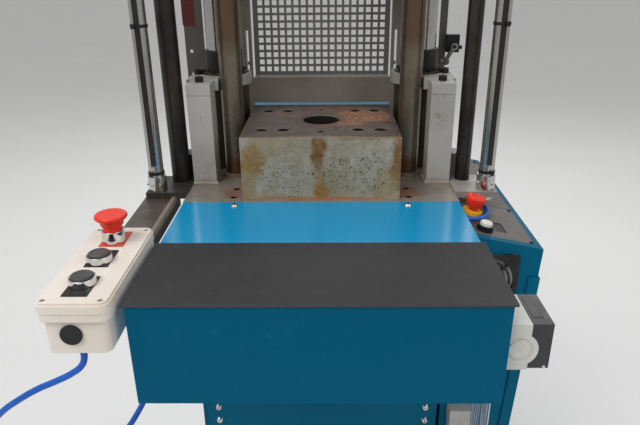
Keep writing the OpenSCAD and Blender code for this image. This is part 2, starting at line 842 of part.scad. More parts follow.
module control_box_base() {
    w = box_w - 2 * base_in;
    d = box_d - 2 * base_in;
    color(cream) difference() {
        union() {
            translate([box_x, box_y, lid_z - box_h]) linear_extrude(box_h) rrect(w, d, 9);
            translate([box_x, box_y, lid_z - 10.5]) linear_extrude(10.5) rrect(box_w - 1.5, box_d - 1.5, 11.5);
        }
        translate([box_x, box_y, lid_z - box_h + box_wall]) linear_extrude(box_h)
            rrect(w - 2 * box_wall, d - 2 * box_wall, 6);
        translate([box_x - 4.5, box_y - d / 2 - 1, lid_z - 27]) rotate([-90, 0, 0]) cylinder(r = 10, h = 6);
        rod(gland[0], gland[1], lid_z - box_h - 1, lid_z - box_h + box_wall + 1, 7);
    }
}

module control_box_lid() {
    color(cream) difference() {
        union() {
            translate([box_x, box_y, lid_z]) linear_extrude(lid_h - 3) rrect(box_w, box_d, 12);
            translate([box_x, box_y, lid_z]) linear_extrude(lid_h) rrect(box_w - 4, box_d - 4, 10);
        }
        translate([box_x, box_y, lid_z - 1]) linear_extrude(lid_h - box_wall + 1)
            rrect(box_w - 2 * (base_in + box_wall), box_d - 2 * (base_in + box_wall), 6);
        for (y = head_y)
            rod(box_x, y, lid_z, T + lid_top + 1, lid_hole);
        for (x = [-1, 1], y = [-1, 1])
            rod(box_x + x * (box_w / 2 - 9), box_y + y * (box_d / 2 - 9), T + lid_top - 2, T + lid_top + 1, 3.2);
    }
}

module legend_plates() {
    color([0.1, 0.1, 0.1]) for (i = [0 : 2])
        difference() {
            translate([box_x, head_y[i] + plate_off[i], T + lid_top]) linear_extrude(plate_t)
                square([i == 0 ? 30 : 28, 43], center = true);
            rod(box_x, head_y[i], T + lid_top - 1, T + lid_top + 2, lid_hole);
        }
}

// Chrome ring of an operating head at y, bored for its plunger, top above the lid
module head_collar(y, r, bore, top) {
    difference() {
        union() {
            rod(box_x, y, T + lid_top + plate_t, T + lid_top + top, r);
            rod(box_x, y, T + lid_top - 22, T + lid_top + 3, lid_hole - slip);
        }
        rod(box_x, y, T + lid_top - 16, T + lid_top + top + 1, bore);
        rod(box_x, y, T + lid_top + 4, T + lid_top + top + 1, r - 2);
    }
}

module button_collars() {
    color("silver") {
        head_collar(head_y[0], stop_neck, plunger_r + 1 + fit, stop_base);
        head_collar(head_y[1], ring_r, plunger_r + fit, collar_top);
        head_collar(head_y[2], ring_r, plunger_r + fit, collar_top);
    }
}

// Push button cap with its plunger
module push_cap(y) {
    translate([box_x, y, T + lid_top]) rotate_extrude()
        polygon([[0, -10], [plunger_r, -10], [plunger_r, 9], [ring_r - 2 - seat, 9], [ring_r - 2 - seat, collar_top + 1],
            [ring_r - 3.5, collar_top + 2.5], [0, collar_top + 3]]);
}

module start_button_front() {
    color(dark) push_cap(head_y[2]);
}

module start_button_rear() {
    color(dark) push_cap(head_y[1]);
}

module stop_head() {
    r = stop_neck - 2 - seat;
    z = stop_base + 6;
    color("red") translate([box_x, head_y[0], T + lid_top]) rotate_extrude()
        polygon([[0, -8], [plunger_r + 1, -8], [plunger_r + 1, 10], [r, 10], [r, z],
            [stop_neck, z + 1], [stop_neck + 1, z + 7], [stop_r - 1.5, z + 9], [stop_r, z + 11],
            [stop_r, z + 13], [stop_r - 1.5, z + 14.8], [stop_r - 5, z + 15], [0, z + 13.5]]);
}

module box_plugs() {
    d = box_d / 2 - base_in;
    color([0.1, 0.1, 0.1]) {
        translate([box_x - 4.5, box_y - d - 3, lid_z - 27]) rotate([-90, 0, 0]) cylinder(r = 12, h = 3);
        translate([box_x - 4.5, box_y - d - 1, lid_z - 27]) rotate([-90, 0, 0]) cylinder(r = 9.8, h = 6);
        translate([gland[0], gland[1], lid_z - box_h]) rotate_extrude()
            polygon([[0, 6], [6.8, 6], [6.8, 0], [10, 0], [10, -8], [8.5, -12], [5.4, -gland_h],
                [cord_r + slip, -gland_h], [cord_r + slip, -4], [0, -4]]);
        translate([-apron_w / 2, cord_end[2][1], T + cord_end[2][2]]) rotate([0, -90, 0]) rotate_extrude()
            polygon([[cord_r + slip, 0], [9, 0], [9, 6], [cord_r + 1.2, 10], [cord_r + slip, 10]]);
    }
}

// Section of the side box seen from the front, with its round lobe
side_x0 = cover_w / 2 + 0.5;
side_y0 = -cover_front + 16;
side_y1 = side_y0 + 66;
side_z1 = T - 34;
side_z0 = T - 95;
side_split = side_x0 + 28.5;
lobe_x = side_x0 + 16.5;
lobe_z = T - 68;
lobe_r = 22;

module side_box_base() {
    color([0.8, 0.8, 0.76]) difference() {
        union() {
            block([side_x0, side_y0, side_z0], [side_split, side_y1, side_z1]);
            translate([lobe_x, side_y0, lobe_z]) rotate([-90, 0, 0]) cylinder(r = lobe_r, h = 10);
            block([side_x0, side_y0, lobe_z - lobe_r], [lobe_x, side_y0 + 10, lobe_z + lobe_r]);
        }
        block([side_x0 - lobe_r, side_y0 - 1, lobe_z - lobe_r - 1],
            [side_x0, side_y0 + 11, lobe_z + lobe_r + 1]);
        translate([lobe_x, side_y0 - 1, lobe_z]) rotate([-90, 0, 0]) difference() {
            cylinder(r = lobe_r - 6, h = 2.5);
            translate([0, 0, -1]) cylinder(r = lobe_r - 10, h = 5);
        }
    }
}

module side_box_cover() {
    color(dark) difference() {
        block([side_split, side_y0 + 0.5, side_z0 + 2], [side_split + 24, side_y1, side_z1]);
        translate([lobe_x, side_y0 - 1, lobe_z]) rotate([-90, 0, 0]) cylinder(r = lobe_r + slip, h = 11 + slip);
    }
}

// Outline of the console seen from the front, wall w inside its faces
module console_outline(w) {
    x0 = console_front_x0 + w;
    polygon([[x0, console_z0 + w], [console_x - (console_h - w) * tan(side_lean) - w, console_z0 + w],
        [console_x - w, panel_z - w * 1.2], [x0, console_z(x0) - w * 1.1]]);
}

// The console's body, stepped round the base's front corner, wall w inside its faces
module console_solid(w) {
    difference() {
        translate([0, console_back - w, 0]) rotate([90, 0, 0])
            linear_extrude(console_back + apron_front - 2 * w) console_outline(w);
        block([console_front_x0 - 1, -ledge_y - seat - w, console_z0 - 1],
            [console_x0 + w, console_back + 1, T + 1]);
    }
}

// Places its children on the console's sloped top, at the right end
module on_top() {
    translate([console_x, 0, panel_z]) rotate([0, top_slope, 0]) children();
}

// Places its children on the console's leaning right side, at its top
module on_side() {
    translate([console_x, 0, panel_z]) rotate([0, side_lean, 0]) children();
}

// Gaps that part the console's walls into single sheets
module console_seams() {
    y0 = -apron_front + console_wall;
    y1 = console_back - console_wall;
    step_y = -ledge_y - seat;
    for (y = [y0, y1 - seat])
        block([console_front_x0 - 1, y, console_z0 - 1], [console_x + 1, y + seat, T + 1]);
    block([console_front_x0 - 1, y0, console_z0 + console_wall],
        [console_x + 1, y1, console_z0 + console_wall + seat]);
    on_top() block([-150, y0, -under_top], [20, y1, seat - under_top]);
    for (x = [console_front_x0 + console_wall, console_x0 - seat])
        block([x, step_y - console_wall - 0.1, console_z0 + console_wall],
            [x + seat, step_y + 0.1, console_z(x) - (under_top - seat / 2) / cos(top_slope)]);
}

module console_cabinet() {
    color(teal) {
        difference() {
            console_solid(0);
            console_solid(console_wall);
            console_seams();
            on_top() block([-96, -203, -8], [-8, console_back - 12, 1]);
            translate([grille_x, -apron_front - 1, grille_z]) rotate([-90, 0, 0])
                cylinder(r = fan_r, h = console_wall + 2);
            on_side() block([-6, -190, -540], [1, console_back - 40, -70]);
        }
        on_top() difference() {
            block([-97.8, -206, -6], [-6, console_back - 9, -3]);
            block([-92, -199, -7], [-12, console_back - 16, -2]);
        }
        translate([grille_x, fan_y, grille_z]) rotate([-90, 0, 0]) {
            cylinder(r = 2.5, h = 20);
            translate([0, 0, 15.5]) cylinder(r = 12, h = 5.5);
        }
        for (a = [45, 135])
            translate([grille_x, fan_y + 16, grille_z]) rotate([0, a, 0])
                block([-fan_r - 2, 0, -3], [fan_r + 2, 4, 3]);
        translate([grille_x, -apron_front + console_wall - 0.5, grille_z]) rotate([-90, 0, 0])
            difference() {
                cylinder(r = fan_r + 3, h = fan_y + 22 + apron_front - console_wall);
                translate([0, 0, -1]) cylinder(r = fan_r, h = 60);
            }
        block([base_x, -60, panel_z - 160], [console_x0 + 1, 40, panel_z - 60]);
        block([base_x, -60, console_z0 + 60], [console_x0 + 1, 40, console_z0 + 160]);
        on_side() for (z = [-door_top - 60, -door_top - cd_len + 60])
            translate([cd_axis_x, cd_axis_y, z]) {
                hinge_pin(50, 12);
                for (k = [0, 38])
                    translate([0, 0, k]) block([-cd_axis_x - 0.5, -knuckle_r, 0], [-knuckle_r * 0.6, knuckle_r, 12]);
            }
        translate([console_x0 + 50, console_back - 1, panel_z - 120]) rotate([-90, 0, 0]) {
            cylinder(r = 22, h = 5);
            cylinder(r = 4, h = 16);
        }
    }
}

module console_door() {
    color(teal) on_side() difference() {
        union() {
            block([seat, -apron_front - seat - door_t, -door_top - cd_len],
                [seat + 2, cd_axis_y - knuckle_r - 2, -door_top]);
            block([-14, -apron_front - seat - door_t, -door_top - cd_len],
                [seat + 2, -apron_front - seat, -door_top]);
            for (z = [-door_top - 60, -door_top - cd_len + 60])
                translate([cd_axis_x, cd_axis_y, z + 12 + seat]) {
                    cylinder(r = knuckle_r, h = 26 - 2 * seat);
                    block([-knuckle_r, -knuckle_r - 3, 0], [-knuckle_r + 2, 0, 26 - 2 * seat]);
                }
        }
        for (z = [-door_top - 60, -door_top - cd_len + 60])
            translate([cd_axis_x, cd_axis_y, z]) cylinder(r = pin_r + fit, h = 50);
    }
}

module console_panel() {
    color([0.22, 0.21, 0.2]) on_top() {
        difference() {
            block([-95.7, -202.7, -3], [-8.3, console_back - 12.3, 0]);
            block([-60, -180, -1], [-44, -146, 1]);
            block([-96, -75, -0.8], [-8, -74, 1]);
            translate([stop2[0], stop2[1], -5]) cylinder(r = 8, h = 7);
            translate([button2[0], button2[1], -5]) cylinder(r = 8, h = 7);
        }
        translate([stop2[0], stop2[1], -8]) difference() {
            union() {
                cylinder(r = 7.8, h = 9);
                translate([0, 0, 8]) cylinder(r = 15.5, h = 5);
            }
            translate([0, 0, -1]) cylinder(r = shaft_r + fit, h = 20);
        }
        translate([button2[0], button2[1], -8]) difference() {
            union() {
                cylinder(r = 7.8, h = 9);
                translate([0, 0, 8]) cylinder(r = 12, h = 8);
            }
            translate([0, 0, -1]) cylinder(r = shaft_r + fit, h = 20);
            translate([0, 0, 10]) cylinder(r = 9 + seat, h = 20);
        }
        for (y = [-199, -82, console_back - 20])
            translate([-13, y, -0.5]) difference() {
                cylinder(r = 3, h = 2);
                translate([0, 0, 1]) cylinder(r = 1.6, h = 2, $fn = 6);
            }
    }
}

module console_stop() {
    color("red") on_top() translate([stop2[0], stop2[1], 0]) rotate_extrude()
        polygon([[0, -14], [shaft_r, -14], [shaft_r, 10], [11, 10], [15, 20], [15, 26], [13, 28], [0, 28.5]]);
}

module console_button() {
    color("white") on_top() translate([button2[0], button2[1], 0]) rotate_extrude()
        polygon([[0, -14], [shaft_r, -14], [shaft_r, 6.5], [9, 6.5], [9, 12], [7.5, 13.5], [0, 14]]);
}

module fan_grille() {
    color(dark) translate([grille_x, -apron_front, grille_z]) rotate([90, 0, 0]) difference() {
        union() {
            linear_extrude(4) rrect(grille, grille, 3);
        }
        for (r = [12 : 7 : fan_r - 4.9])
            translate([0, 0, -1]) difference() {
                cylinder(r = r + 4.6, h = 6);
                translate([0, 0, -1]) cylinder(r = r, h = 8);
                for (a = [45, 135])
                    rotate([0, 0, a]) translate([-60, -1.5, -1]) cube([120, 3, 8]);
            }
    }
}

module fan_rotor() {
    color(dark) translate([grille_x, fan_y, grille_z]) rotate([-90, 0, 0]) difference() {
        union() {
            cylinder(r = hub_r, h = 14);
            for (a = [0 : 360 / 7 : 359])
                rotate([0, 0, a]) translate([hub_r - 1, 0, 7]) rotate([35, 0, 0])
                    translate([0, -9, -1]) cube([fan_r - hub_r - 1, 18, 2]);
        }
        translate([0, 0, -1]) cylinder(r = 2.5 + fit, h = 16);
    }
}

module main_switch() {
    color("red") translate([console_x0 + 50, console_back + 4 + seat, panel_z - 120]) rotate([-90, 0, 0])
        difference() {
            union() {
                cylinder(r = 17, h = 7);
                translate([-6, -16, 6]) cube([12, 32, 11]);
            }
            translate([0, 0, -1]) cylinder(r = 4 + fit, h = 13);
        }
}

module console_connector() {
    x0 = console_front_x0 + 12;
    y1 = -apron_front;
    z0 = T - 395;
    color([0.7, 0.7, 0.68]) {
        block([x0, y1 - 22, z0], [x0 + 30, y1, z0 + 55]);
        block([x0 + 3, y1 - 20, z0 + 55], [x0 + 27, y1, z0 + 59]);
        block([x0 - 1, y1 - 24, z0 + 59], [x0 + 31, y1, z0 + 88]);
        translate([x0 + 15, y1 - 11, z0 - 16]) cylinder(r = 8, h = 17);
    }
}

// Routes of the two captive leads of the light curtains
right_lead = [[tube_x, -tube_y, T - 16.3], [tube_x, -tube_y - 1, T - 20], [258, -92, T - 21.5],
    [257, -112, T - 21.5], [253, -132, T - 21], [244, -148, T - 19], [233, -159, T - 16.5],
    [221, -167, T - 13.5], [208, -175, T - 11], [196, -182, T - 9.5], [184, -186, T - 11],
    [176, -185, T - 17], [171, -181, T - 26], [168, -174, T - 32], [168, -ledge_y, T - 33]];
left_lead = [[-tube_x, -tube_y, T - 16.3], [-tube_x, -tube_y - 2, T - 23], [-tube_x, -tube_y - 14, T - 28],
    [-tube_x, -tube_y - 50, T - 29], [-tube_x, -tube_y - 120, T - 29], [-tube_x, box_y0 + box_d - base_in, T - 29]];

module curtain_cables() {
    color("royalblue") {
        sweep(smooth(right_lead, 2), 3.5, 10);
        sweep(smooth(left_lead, 2), 3.5, 10);
    }
}

// Route of the blue cable, in the frame of the platen's top
cord_route = [[gland[0], gland[1], -56], [gland[0], gland[1], -66], [gland[0], gland[1], -76],
    [gland[0], gland[1], -86], [-280, -400, -98], [-293, -400, -109], [-313, -400, -120],
    [-338, -400, -132], [-364, -400, -148], [-390, -399, -168], [-410, -397, -192],
    [-421, -394, -222], [-420, -390, -253], [-407, -384, -281], [-384, -376, -301],
    [-356, -366, -309], [-327, -354, -304], [-300, -342, -290], [-277, -328, -270],
    [-259, -311, -248], [-246, -291, -225], [-237, -268, -203], [-233, -243, -185],
    [-231, -218, -173], [-230, -194, -167], [-224, -174, -166], [-212, -161, -166]];
cord_end = [[-199, -158, -166], [-191, -158, -166], [-apron_w / 2, -158, -166]];

module box_cable() {
    color("royalblue") translate([0, 0, T]) sweep(smooth(concat(cord_route, cord_end), 2), cord_r, 10);
}

module upper_platen() {
    color(steel) {
        difference() {
            union() {
                block([-upper_w / 2, upper_y - upper_d / 2, UZ], [upper_w / 2, upper_y + upper_d / 2, UT]);
                both() rod(bar_x, 0, UZ - 8, UT + 10, bar_r + 9);
            }
            both() {
                rod(bar_x, 0, UZ - 9, UT + 11, bar_r + fit);
                rod(cyl_x, cyl_y, UZ - 1, UT + 1, 16 + slip);
                rod(guide_x, inj_y, UT - 42, UT + 1, guide_r - 2 + slip);
                for (y = [-72, 72])
                    rod(90, inj_y + y, UZ - 1, UZ + 25, tap_r);
            }
            rod(0, inj_y, UZ - 1, UT + 1, 45);
        }
    }
}

module carriage_rods() {
    color("silver") both() {
        rod(guide_x, inj_y, UT - 40, UT + 1, guide_r - 2);
        rod(guide_x, inj_y, UT, rod_top, guide_r);
        rod(guide_x, inj_y, UT, house_z - seat, guide_r + 6);
        rod(guide_x, inj_y, rod_top - 14, rod_top, stop_collar_r);
    }
}

module injection_housing() {
    color(teal) {
        difference() {
            union() {
                block([-house_w / 2, inj_y - house_d / 2, house_z], [house_w / 2, inj_y + house_d / 2, house_top]);
                block([-32, inj_y + house_d / 2 - 1, house_top - 62], [32, feed_y + 30, house_top]);
                for (y = [-ram_y, ram_y])
                    rod(0, inj_y + y, house_top - 1, house_top + ram_h, 18);
            }
            both() rod(guide_x, inj_y, house_z - 1, house_top + 1, guide_r + fit);
            rod(0, inj_y, house_z - 1, house_top - 30, barrel_r + slip);
            rod(0, inj_y, house_top - 31, house_top + 1, screw_r + 1);
            rod(0, feed_y, feed_z - 15, house_top + 1, 17);
            translate([0, inj_y + 20, feed_z]) rotate([-90, 0, 0]) cylinder(r = 15, h = feed_y - inj_y - 20);
            for (y = [-ram_y, ram_y])
                rod(0, inj_y + y, house_top + 2, house_top + ram_h + 1, ram_r + fit);
        }
    }
}

module barrel() {
    color("silver") difference() {
        union() {
            rod(0, inj_y, barrel_z, house_top - 30 - slip, barrel_r);
            translate([0, inj_y, nozzle_z]) cylinder(r1 = 9, r2 = barrel_r - 4, h = nozzle_l);
        }
        rod(0, inj_y, barrel_z + 10, house_top, screw_r + 0.1);
        rod(0, inj_y, nozzle_z - 1, barrel_z + 11, 2.5);
        translate([0, inj_y, feed_z]) rotate([-90, 0, 0]) cylinder(r = 12, h = 60);
    }
}

module heater_bands() {
    color("goldenrod") for (i = [0 : 2])
        difference() {
            union() {
                rod(0, inj_y, barrel_z + 60 + i * band_pitch, barrel_z + 60 + i * band_pitch + band_h, barrel_r + 5);
                block([-12, inj_y - barrel_r - 18, barrel_z + 72 + i * band_pitch],
                    [12, inj_y - barrel_r, barrel_z + 108 + i * band_pitch]);
            }
            rod(0, inj_y, barrel_z + 59 + i * band_pitch, barrel_z + 62 + i * band_pitch + band_h, barrel_r + slip);
        }
}

module hopper() {
    color("silver") {
        translate([0, feed_y, house_top]) rotate_extrude()
            polygon([[17, 0], [28, 0], [28, 4], [20, 4], [20, 24], [hopper_r, 110], [hopper_r, hopper_h],
                [hopper_r - 2, hopper_h], [hopper_r - 2, 111], [18, 25], [17, 24]]);
        both() block([10.3, feed_y + hopper_r - 1, hopper_top - 16], [16, lid_y + 3, hopper_top]);
        both() block([10.3, feed_y + hopper_r + 2, hopper_top - 16], [16, lid_y + 3, hopper_top + 4]);
        translate([-16, lid_y, hopper_top]) rotate([0, 90, 0]) cylinder(r = pin_r, h = 32);
    }
}

module hopper_lid() {
    color(teal) difference() {
        union() {
            rod(0, feed_y, hopper_top + seat, hopper_top + seat + 2, hopper_r + 1);
            block([-9, lid_y - 10, hopper_top + seat], [9, lid_y, hopper_top + seat + 2]);
            translate([-9, lid_y, hopper_top]) rotate([0, 90, 0]) cylinder(r = knuckle_r, h = 18);
            rod(0, feed_y - 40, hopper_top + 2, hopper_top + 18, 9);
        }
        translate([-10, lid_y, hopper_top]) rotate([0, 90, 0]) cylinder(r = pin_r + fit, h = 20);
    }
}

module drive_head() {
    color("dimgray") difference() {
        union() {
            block([-house_w / 2, inj_y - house_d / 2, drive_z], [house_w / 2, inj_y + house_d / 2, drive_top]);
            rod(0, inj_y, drive_top - 1, drive_top + 120, spin_r);
            rod(0, inj_y, drive_top + 119, drive_top + 140, spin_r - 12);
            for (y = [-ram_y, ram_y])
                rod(0, inj_y + y, house_top + 2 + seat, drive_z + 1, ram_r);
        }
        both() rod(guide_x, inj_y, drive_z - 1, drive_top + 1, guide_r + fit);
        rod(0, inj_y, drive_z - 1, drive_top + 40, shank_r + fit);
    }
}

// Helical flight from z0 on, of the given length
module flight(z0, length) {
    n = round(length / flight_pitch * 18);
    r0 = screw_r - 6;
    pts = [for (i = [0 : n], c = [[r0, -3], [screw_r, -1.6], [screw_r, 1.6], [r0, 3]])
        let (a = 360 * i * length / n / flight_pitch)
        [c[0] * cos(a), c[0] * sin(a), z0 + 3 + (length - 6) * i / n + c[1]]];
    polyhedron(pts, concat([[3, 2, 1, 0]], [[4 * n, 4 * n + 1, 4 * n + 2, 4 * n + 3]],
        [for (i = [0 : n - 1], k = [0 : 3]) let (m = (k + 1) % 4)
            [4 * i + k, 4 * i + m, 4 * i + 4 + m, 4 * i + 4 + k]]));
}

module screw() {
    color("silver") translate([0, inj_y, 0]) {
        translate([0, 0, barrel_z + 12]) cylinder(r1 = 3, r2 = screw_r - 4, h = 14);
        translate([0, 0, flight_z - 0.5]) cylinder(r = screw_r - 4, h = flight_l + 1);
        flight(flight_z, flight_l);
        translate([0, 0, flight_z + flight_l]) cylinder(r = shank_r, h = drive_top + 38 - flight_z - flight_l);
    }
}

base_cabinet();
lower_front_cover();
cover_screws();
levelling_feet();
pump_motor();
lower_platen();
mould_block();
tie_bars();
tie_bar_nuts();
top_cover();
rubber_mat();
cylinder_barrels();
cylinder_heads();
support_posts();
clamp_plates();
clamp_bolts();
rear_guard_frame();
perforated_guard();
rear_cover();
guide_bars();
side_arms();
curtain_tubes();
tube_fittings();
switch_rails();
limit_switch();
control_arm();
control_box_base();
control_box_lid();
button_collars();
legend_plates();
box_plugs();
side_box_base();
side_box_cover();
console_cabinet();
console_panel();
fan_grille();
console_connector();
curtain_cables();
box_cable();
upper_platen();
cylinder_rods();
carriage_rods();
injection_housing();
barrel();
heater_bands();
hopper();
hopper_lid();
drive_head();
screw();
start_button_front();
start_button_rear();
stop_head();
console_stop();
console_button();
console_door();
fan_rotor();
base_door();
switch_lever();
main_switch();
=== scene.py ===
"""A small vertical injection moulding press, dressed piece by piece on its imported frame."""

import json
import math

import bpy
from mathutils import Matrix, Vector

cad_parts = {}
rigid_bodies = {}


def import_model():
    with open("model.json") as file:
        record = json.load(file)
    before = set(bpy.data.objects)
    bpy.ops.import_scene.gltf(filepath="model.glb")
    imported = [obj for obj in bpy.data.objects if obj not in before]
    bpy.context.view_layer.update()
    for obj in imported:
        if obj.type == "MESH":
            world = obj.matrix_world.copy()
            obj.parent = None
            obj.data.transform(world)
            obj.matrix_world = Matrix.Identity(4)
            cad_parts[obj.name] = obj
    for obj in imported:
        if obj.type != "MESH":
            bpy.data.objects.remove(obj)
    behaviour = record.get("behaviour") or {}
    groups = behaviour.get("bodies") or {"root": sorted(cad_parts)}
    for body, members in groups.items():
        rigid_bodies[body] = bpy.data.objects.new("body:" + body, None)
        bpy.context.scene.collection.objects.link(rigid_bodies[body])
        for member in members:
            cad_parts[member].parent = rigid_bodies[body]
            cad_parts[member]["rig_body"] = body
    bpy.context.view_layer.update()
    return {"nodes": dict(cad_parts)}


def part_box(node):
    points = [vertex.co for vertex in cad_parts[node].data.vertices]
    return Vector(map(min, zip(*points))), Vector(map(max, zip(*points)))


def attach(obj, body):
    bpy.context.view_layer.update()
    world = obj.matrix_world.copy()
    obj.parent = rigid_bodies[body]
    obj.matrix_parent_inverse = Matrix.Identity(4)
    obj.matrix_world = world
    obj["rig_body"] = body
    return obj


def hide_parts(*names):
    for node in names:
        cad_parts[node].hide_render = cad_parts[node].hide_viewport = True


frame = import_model()

# Where the press is seen from
# The operator stands in front of the covers and looks down on the platen. The view has the
# photograph's own angle, and everything in it is sharp.
def shown(name, data):
    """A new object that is linked to the scene."""
    item = bpy.data.objects.new(name, data)
    bpy.context.scene.collection.objects.link(item)
    return item


lens = bpy.data.cameras.new("view")
lens.lens = 34.03
lens.sensor_width = 36
lens.clip_start = 0.05
lens.clip_end = 200
view = shown("view", lens)
eye = (0.0105, -0.98141, 1.3454)
turned_left, bent_down, tipped = 0.8072, 23.1306, -0.5087
view.matrix_world = (
    Matrix.Translation(eye)
    @ Matrix.Rotation(math.radians(turned_left), 4, "Z")
    @ Matrix.Rotation(math.radians(90 - bent_down), 4, "X")
    @ Matrix.Rotation(math.radians(tipped), 4, "Z")
)
bpy.context.scene.camera = view
bpy.context.scene.view_settings.view_transform = "Standard"


# Cable of the hand control box
# A round blue lead of 8 mm with a smooth jacket. It leaves the gland under the box, hangs out in
# one loop by its own stiffness and goes in through the side wall of the lower front cover.
def mm(*sizes):
    """A place or size given in millimetres."""
    return Vector([size / 1000 for size in sizes])


def tone(red, green, blue):
    """A colour given in 0 to 255, as the shaders take it."""
    parts = [part / 255 for part in (red, green, blue)]
    return [p / 12.92 if p <= 0.04045 else ((p + 0.055) / 1.055) ** 2.4 for p in parts] + [1.0]


def put(tree, kind, feeds=(), **settings):
    """Adds one shader node, gives it its settings, and sets or links its inputs."""
    node = tree.nodes.new("ShaderNode" + kind)
    for key, value in settings.items():
        setattr(node, key, value)
    for key, value in dict(feeds).items():
        if isinstance(value, bpy.types.NodeSocket):
            tree.links.new(value, node.inputs[key])
        else:
            node.inputs[key].default_value = value
    return node


def calc(tree, work, first, second=0.0, third=0.0):
    """One sum of the shader, such as ADD or MULTIPLY."""
    return put(tree, "Math", {0: first, 1: second, 2: third}, operation=work).outputs[0]


def vector(tree, work, first, second=(0, 0, 0), gives=0):
    """One sum of vectors, such as DISTANCE, whose number is the output called Value."""
    return put(tree, "VectorMath", {0: first, 1: second}, operation=work).outputs[gives]


def tint(tree, share, under, over):
    """Two colours mixed by a share."""
    return put(tree, "Mix", {0: share, 6: under, 7: over}, data_type="RGBA").outputs[2]


def ramp(tree, value, low, high, start=0.0, end=1.0):
    """Goes softly from start to end while value goes from low to high."""
    feeds = {"Value": value, "From Min": low, "From Max": high, "To Min": start, "To Max": end}
    return put(tree, "MapRange", feeds, interpolation_type="SMOOTHSTEP").outputs["Result"]


def cloud(tree, place, scale, detail, rough, stretch=None):
    """Noise of that scale, drawn out along an axis by stretch."""
    if stretch:
        place = put(tree, "Mapping", {"Vector": place, "Scale": stretch}).outputs[0]
    feeds = {"Vector": place, "Scale": scale, "Detail": detail, "Roughness": rough}
    return put(tree, "TexNoise", feeds).outputs[0]


def facing(tree, axis):
    """How far the surface faces along an axis, numbered 0 to 2."""
    return put(tree, "SeparateXYZ", {0: put(tree, "TexCoord").outputs["Normal"]}).outputs[axis]


def new_group(name, takes, gives):
    """An empty effect with named inputs and outputs."""
    group = bpy.data.node_groups.new(name, "ShaderNodeTree")
    for label, kind, start in takes:
        socket = group.interface.new_socket(name=label, in_out="INPUT", socket_type="NodeSocket" + kind)
        if start is not None:
            socket.default_value = start
    for label, kind in gives:
        group.interface.new_socket(name=label, in_out="OUTPUT", socket_type="NodeSocket" + kind)
    return group, group.nodes.new("NodeGroupInput").outputs, group.nodes.new("NodeGroupOutput").inputs


def use(tree, group, feeds):
    """Places an effect in a material with that material's own values."""
    return put(tree, "Group", feeds, node_tree=group).outputs


soiled_skin, given, made = new_group(
    "soiled skin",
    [
        ("Vector", "Vector", None), ("Clean", "Color", (0.5, 0.5, 0.5, 1)),
        ("Soiled", "Color", (0.3, 0.3, 0.3, 1)), ("Patch scale", "Float", 6.0),
        ("Patches", "Float", 0.5), ("Grain scale", "Float", 400.0), ("Dust", "Float", 0.1),
        ("Smooth", "Float", 0.3), ("Dull", "Float", 0.5),
    ],
    [("Color", "Color"), ("Roughness", "Float"), ("Height", "Float")],
)
tree = soiled_skin
broad = cloud(tree, given["Vector"], given["Patch scale"], 6.0, 0.62)
patch = calc(tree, "MULTIPLY", ramp(tree, broad, 0.4, 0.72), given["Patches"])
fine = cloud(tree, given["Vector"], given["Grain scale"], 2.0, 0.5)
up = facing(tree, 2)
motes = ramp(tree, cloud(tree, given["Vector"], 55.0, 5.0, 0.7), 0.45, 0.75)
dust = calc(tree, "MULTIPLY", calc(tree, "MULTIPLY", ramp(tree, up, 0.5, 1.0), motes), given["Dust"])
skin_colour = tint(tree, patch, given["Clean"], given["Soiled"])
tree.links.new(tint(tree, dust, skin_colour, tone(168, 162, 152)), made["Color"])
worst = calc(tree, "ADD", calc(tree, "MAXIMUM", patch, dust), calc(tree, "MULTIPLY", motes, 0.12))
dulled = put(tree, "Mix", {0: worst, 2: given["Smooth"], 3: given["Dull"]}).outputs[0]
tree.links.new(dulled, made["Roughness"])
tree.links.new(fine, made["Height"])


def emboss(on, height, distance):
    """Raises the surface by a height that the shader works out, on top of what is there."""
    into = on.shader.inputs["Normal"]
    feeds = {"Height": height, "Distance": distance, "Strength": 1.0}
    if into.links:
        feeds["Normal"] = into.links[0].from_socket
    on.links.new(put(on, "Bump", feeds).outputs["Normal"], into)


def lay(on, name, mask, value):
    """Lays a colour or number over what feeds that socket, where mask says."""
    into = on.shader.inputs[name]
    under = into.links[0].from_socket if into.links else into.default_value
    if name == "Base Color":
        on.links.new(tint(on, mask, under, value), into)
    else:
        on.links.new(put(on, "Mix", {0: mask, 2: under, 3: value}).outputs[0], into)


class Finish:
    """A finish: its material, the nodes and links of its shader, and the place on the piece."""

    def __init__(self, name, slot):
        self.skin = bpy.data.materials.new(name)
        self.skin.use_nodes = True
        self.skin["slot"] = slot
        self.nodes = self.skin.node_tree.nodes
        self.links = self.skin.node_tree.links
        self.shader = self.nodes["Principled BSDF"]
        self.place = put(self, "TexCoord").outputs["Object"]


def coat(name, slot, clean, soiled, wear, grain, rough, dust=0.1, metal=0.0):
    """A finish of two colours in 0 to 255. Later lines may lay more on it.

    wear is the scale and amount of the soiled patches, grain its scale and its depth in
    micrometres, and rough the roughness where the finish is clean and where it is soiled.
    """
    on = Finish(name, slot)
    feeds = {
        "Vector": on.place, "Clean": tone(*clean), "Soiled": tone(*soiled), "Patch scale": wear[0],
        "Patches": wear[1], "Grain scale": grain[0], "Dust": dust, "Smooth": rough[0], "Dull": rough[1],
    }
    soil = use(on, soiled_skin, feeds)
    on.links.new(soil["Color"], on.shader.inputs["Base Color"])
    on.links.new(soil["Roughness"], on.shader.inputs["Roughness"])
    on.shader.inputs["Metallic"].default_value = metal
    on.shader.inputs["Specular IOR Level"].default_value = 0.25
    emboss(on, soil["Height"], grain[1] / 1000000)
    return on


blue_jacket = on = coat(
    "blue jacket", "blue_cable", (22, 92, 190), (14, 62, 140), wear=(18, 0.5), grain=(900, 20),
    rough=(0.32, 0.5))
on.shader.inputs["Coat Weight"].default_value = 0.15

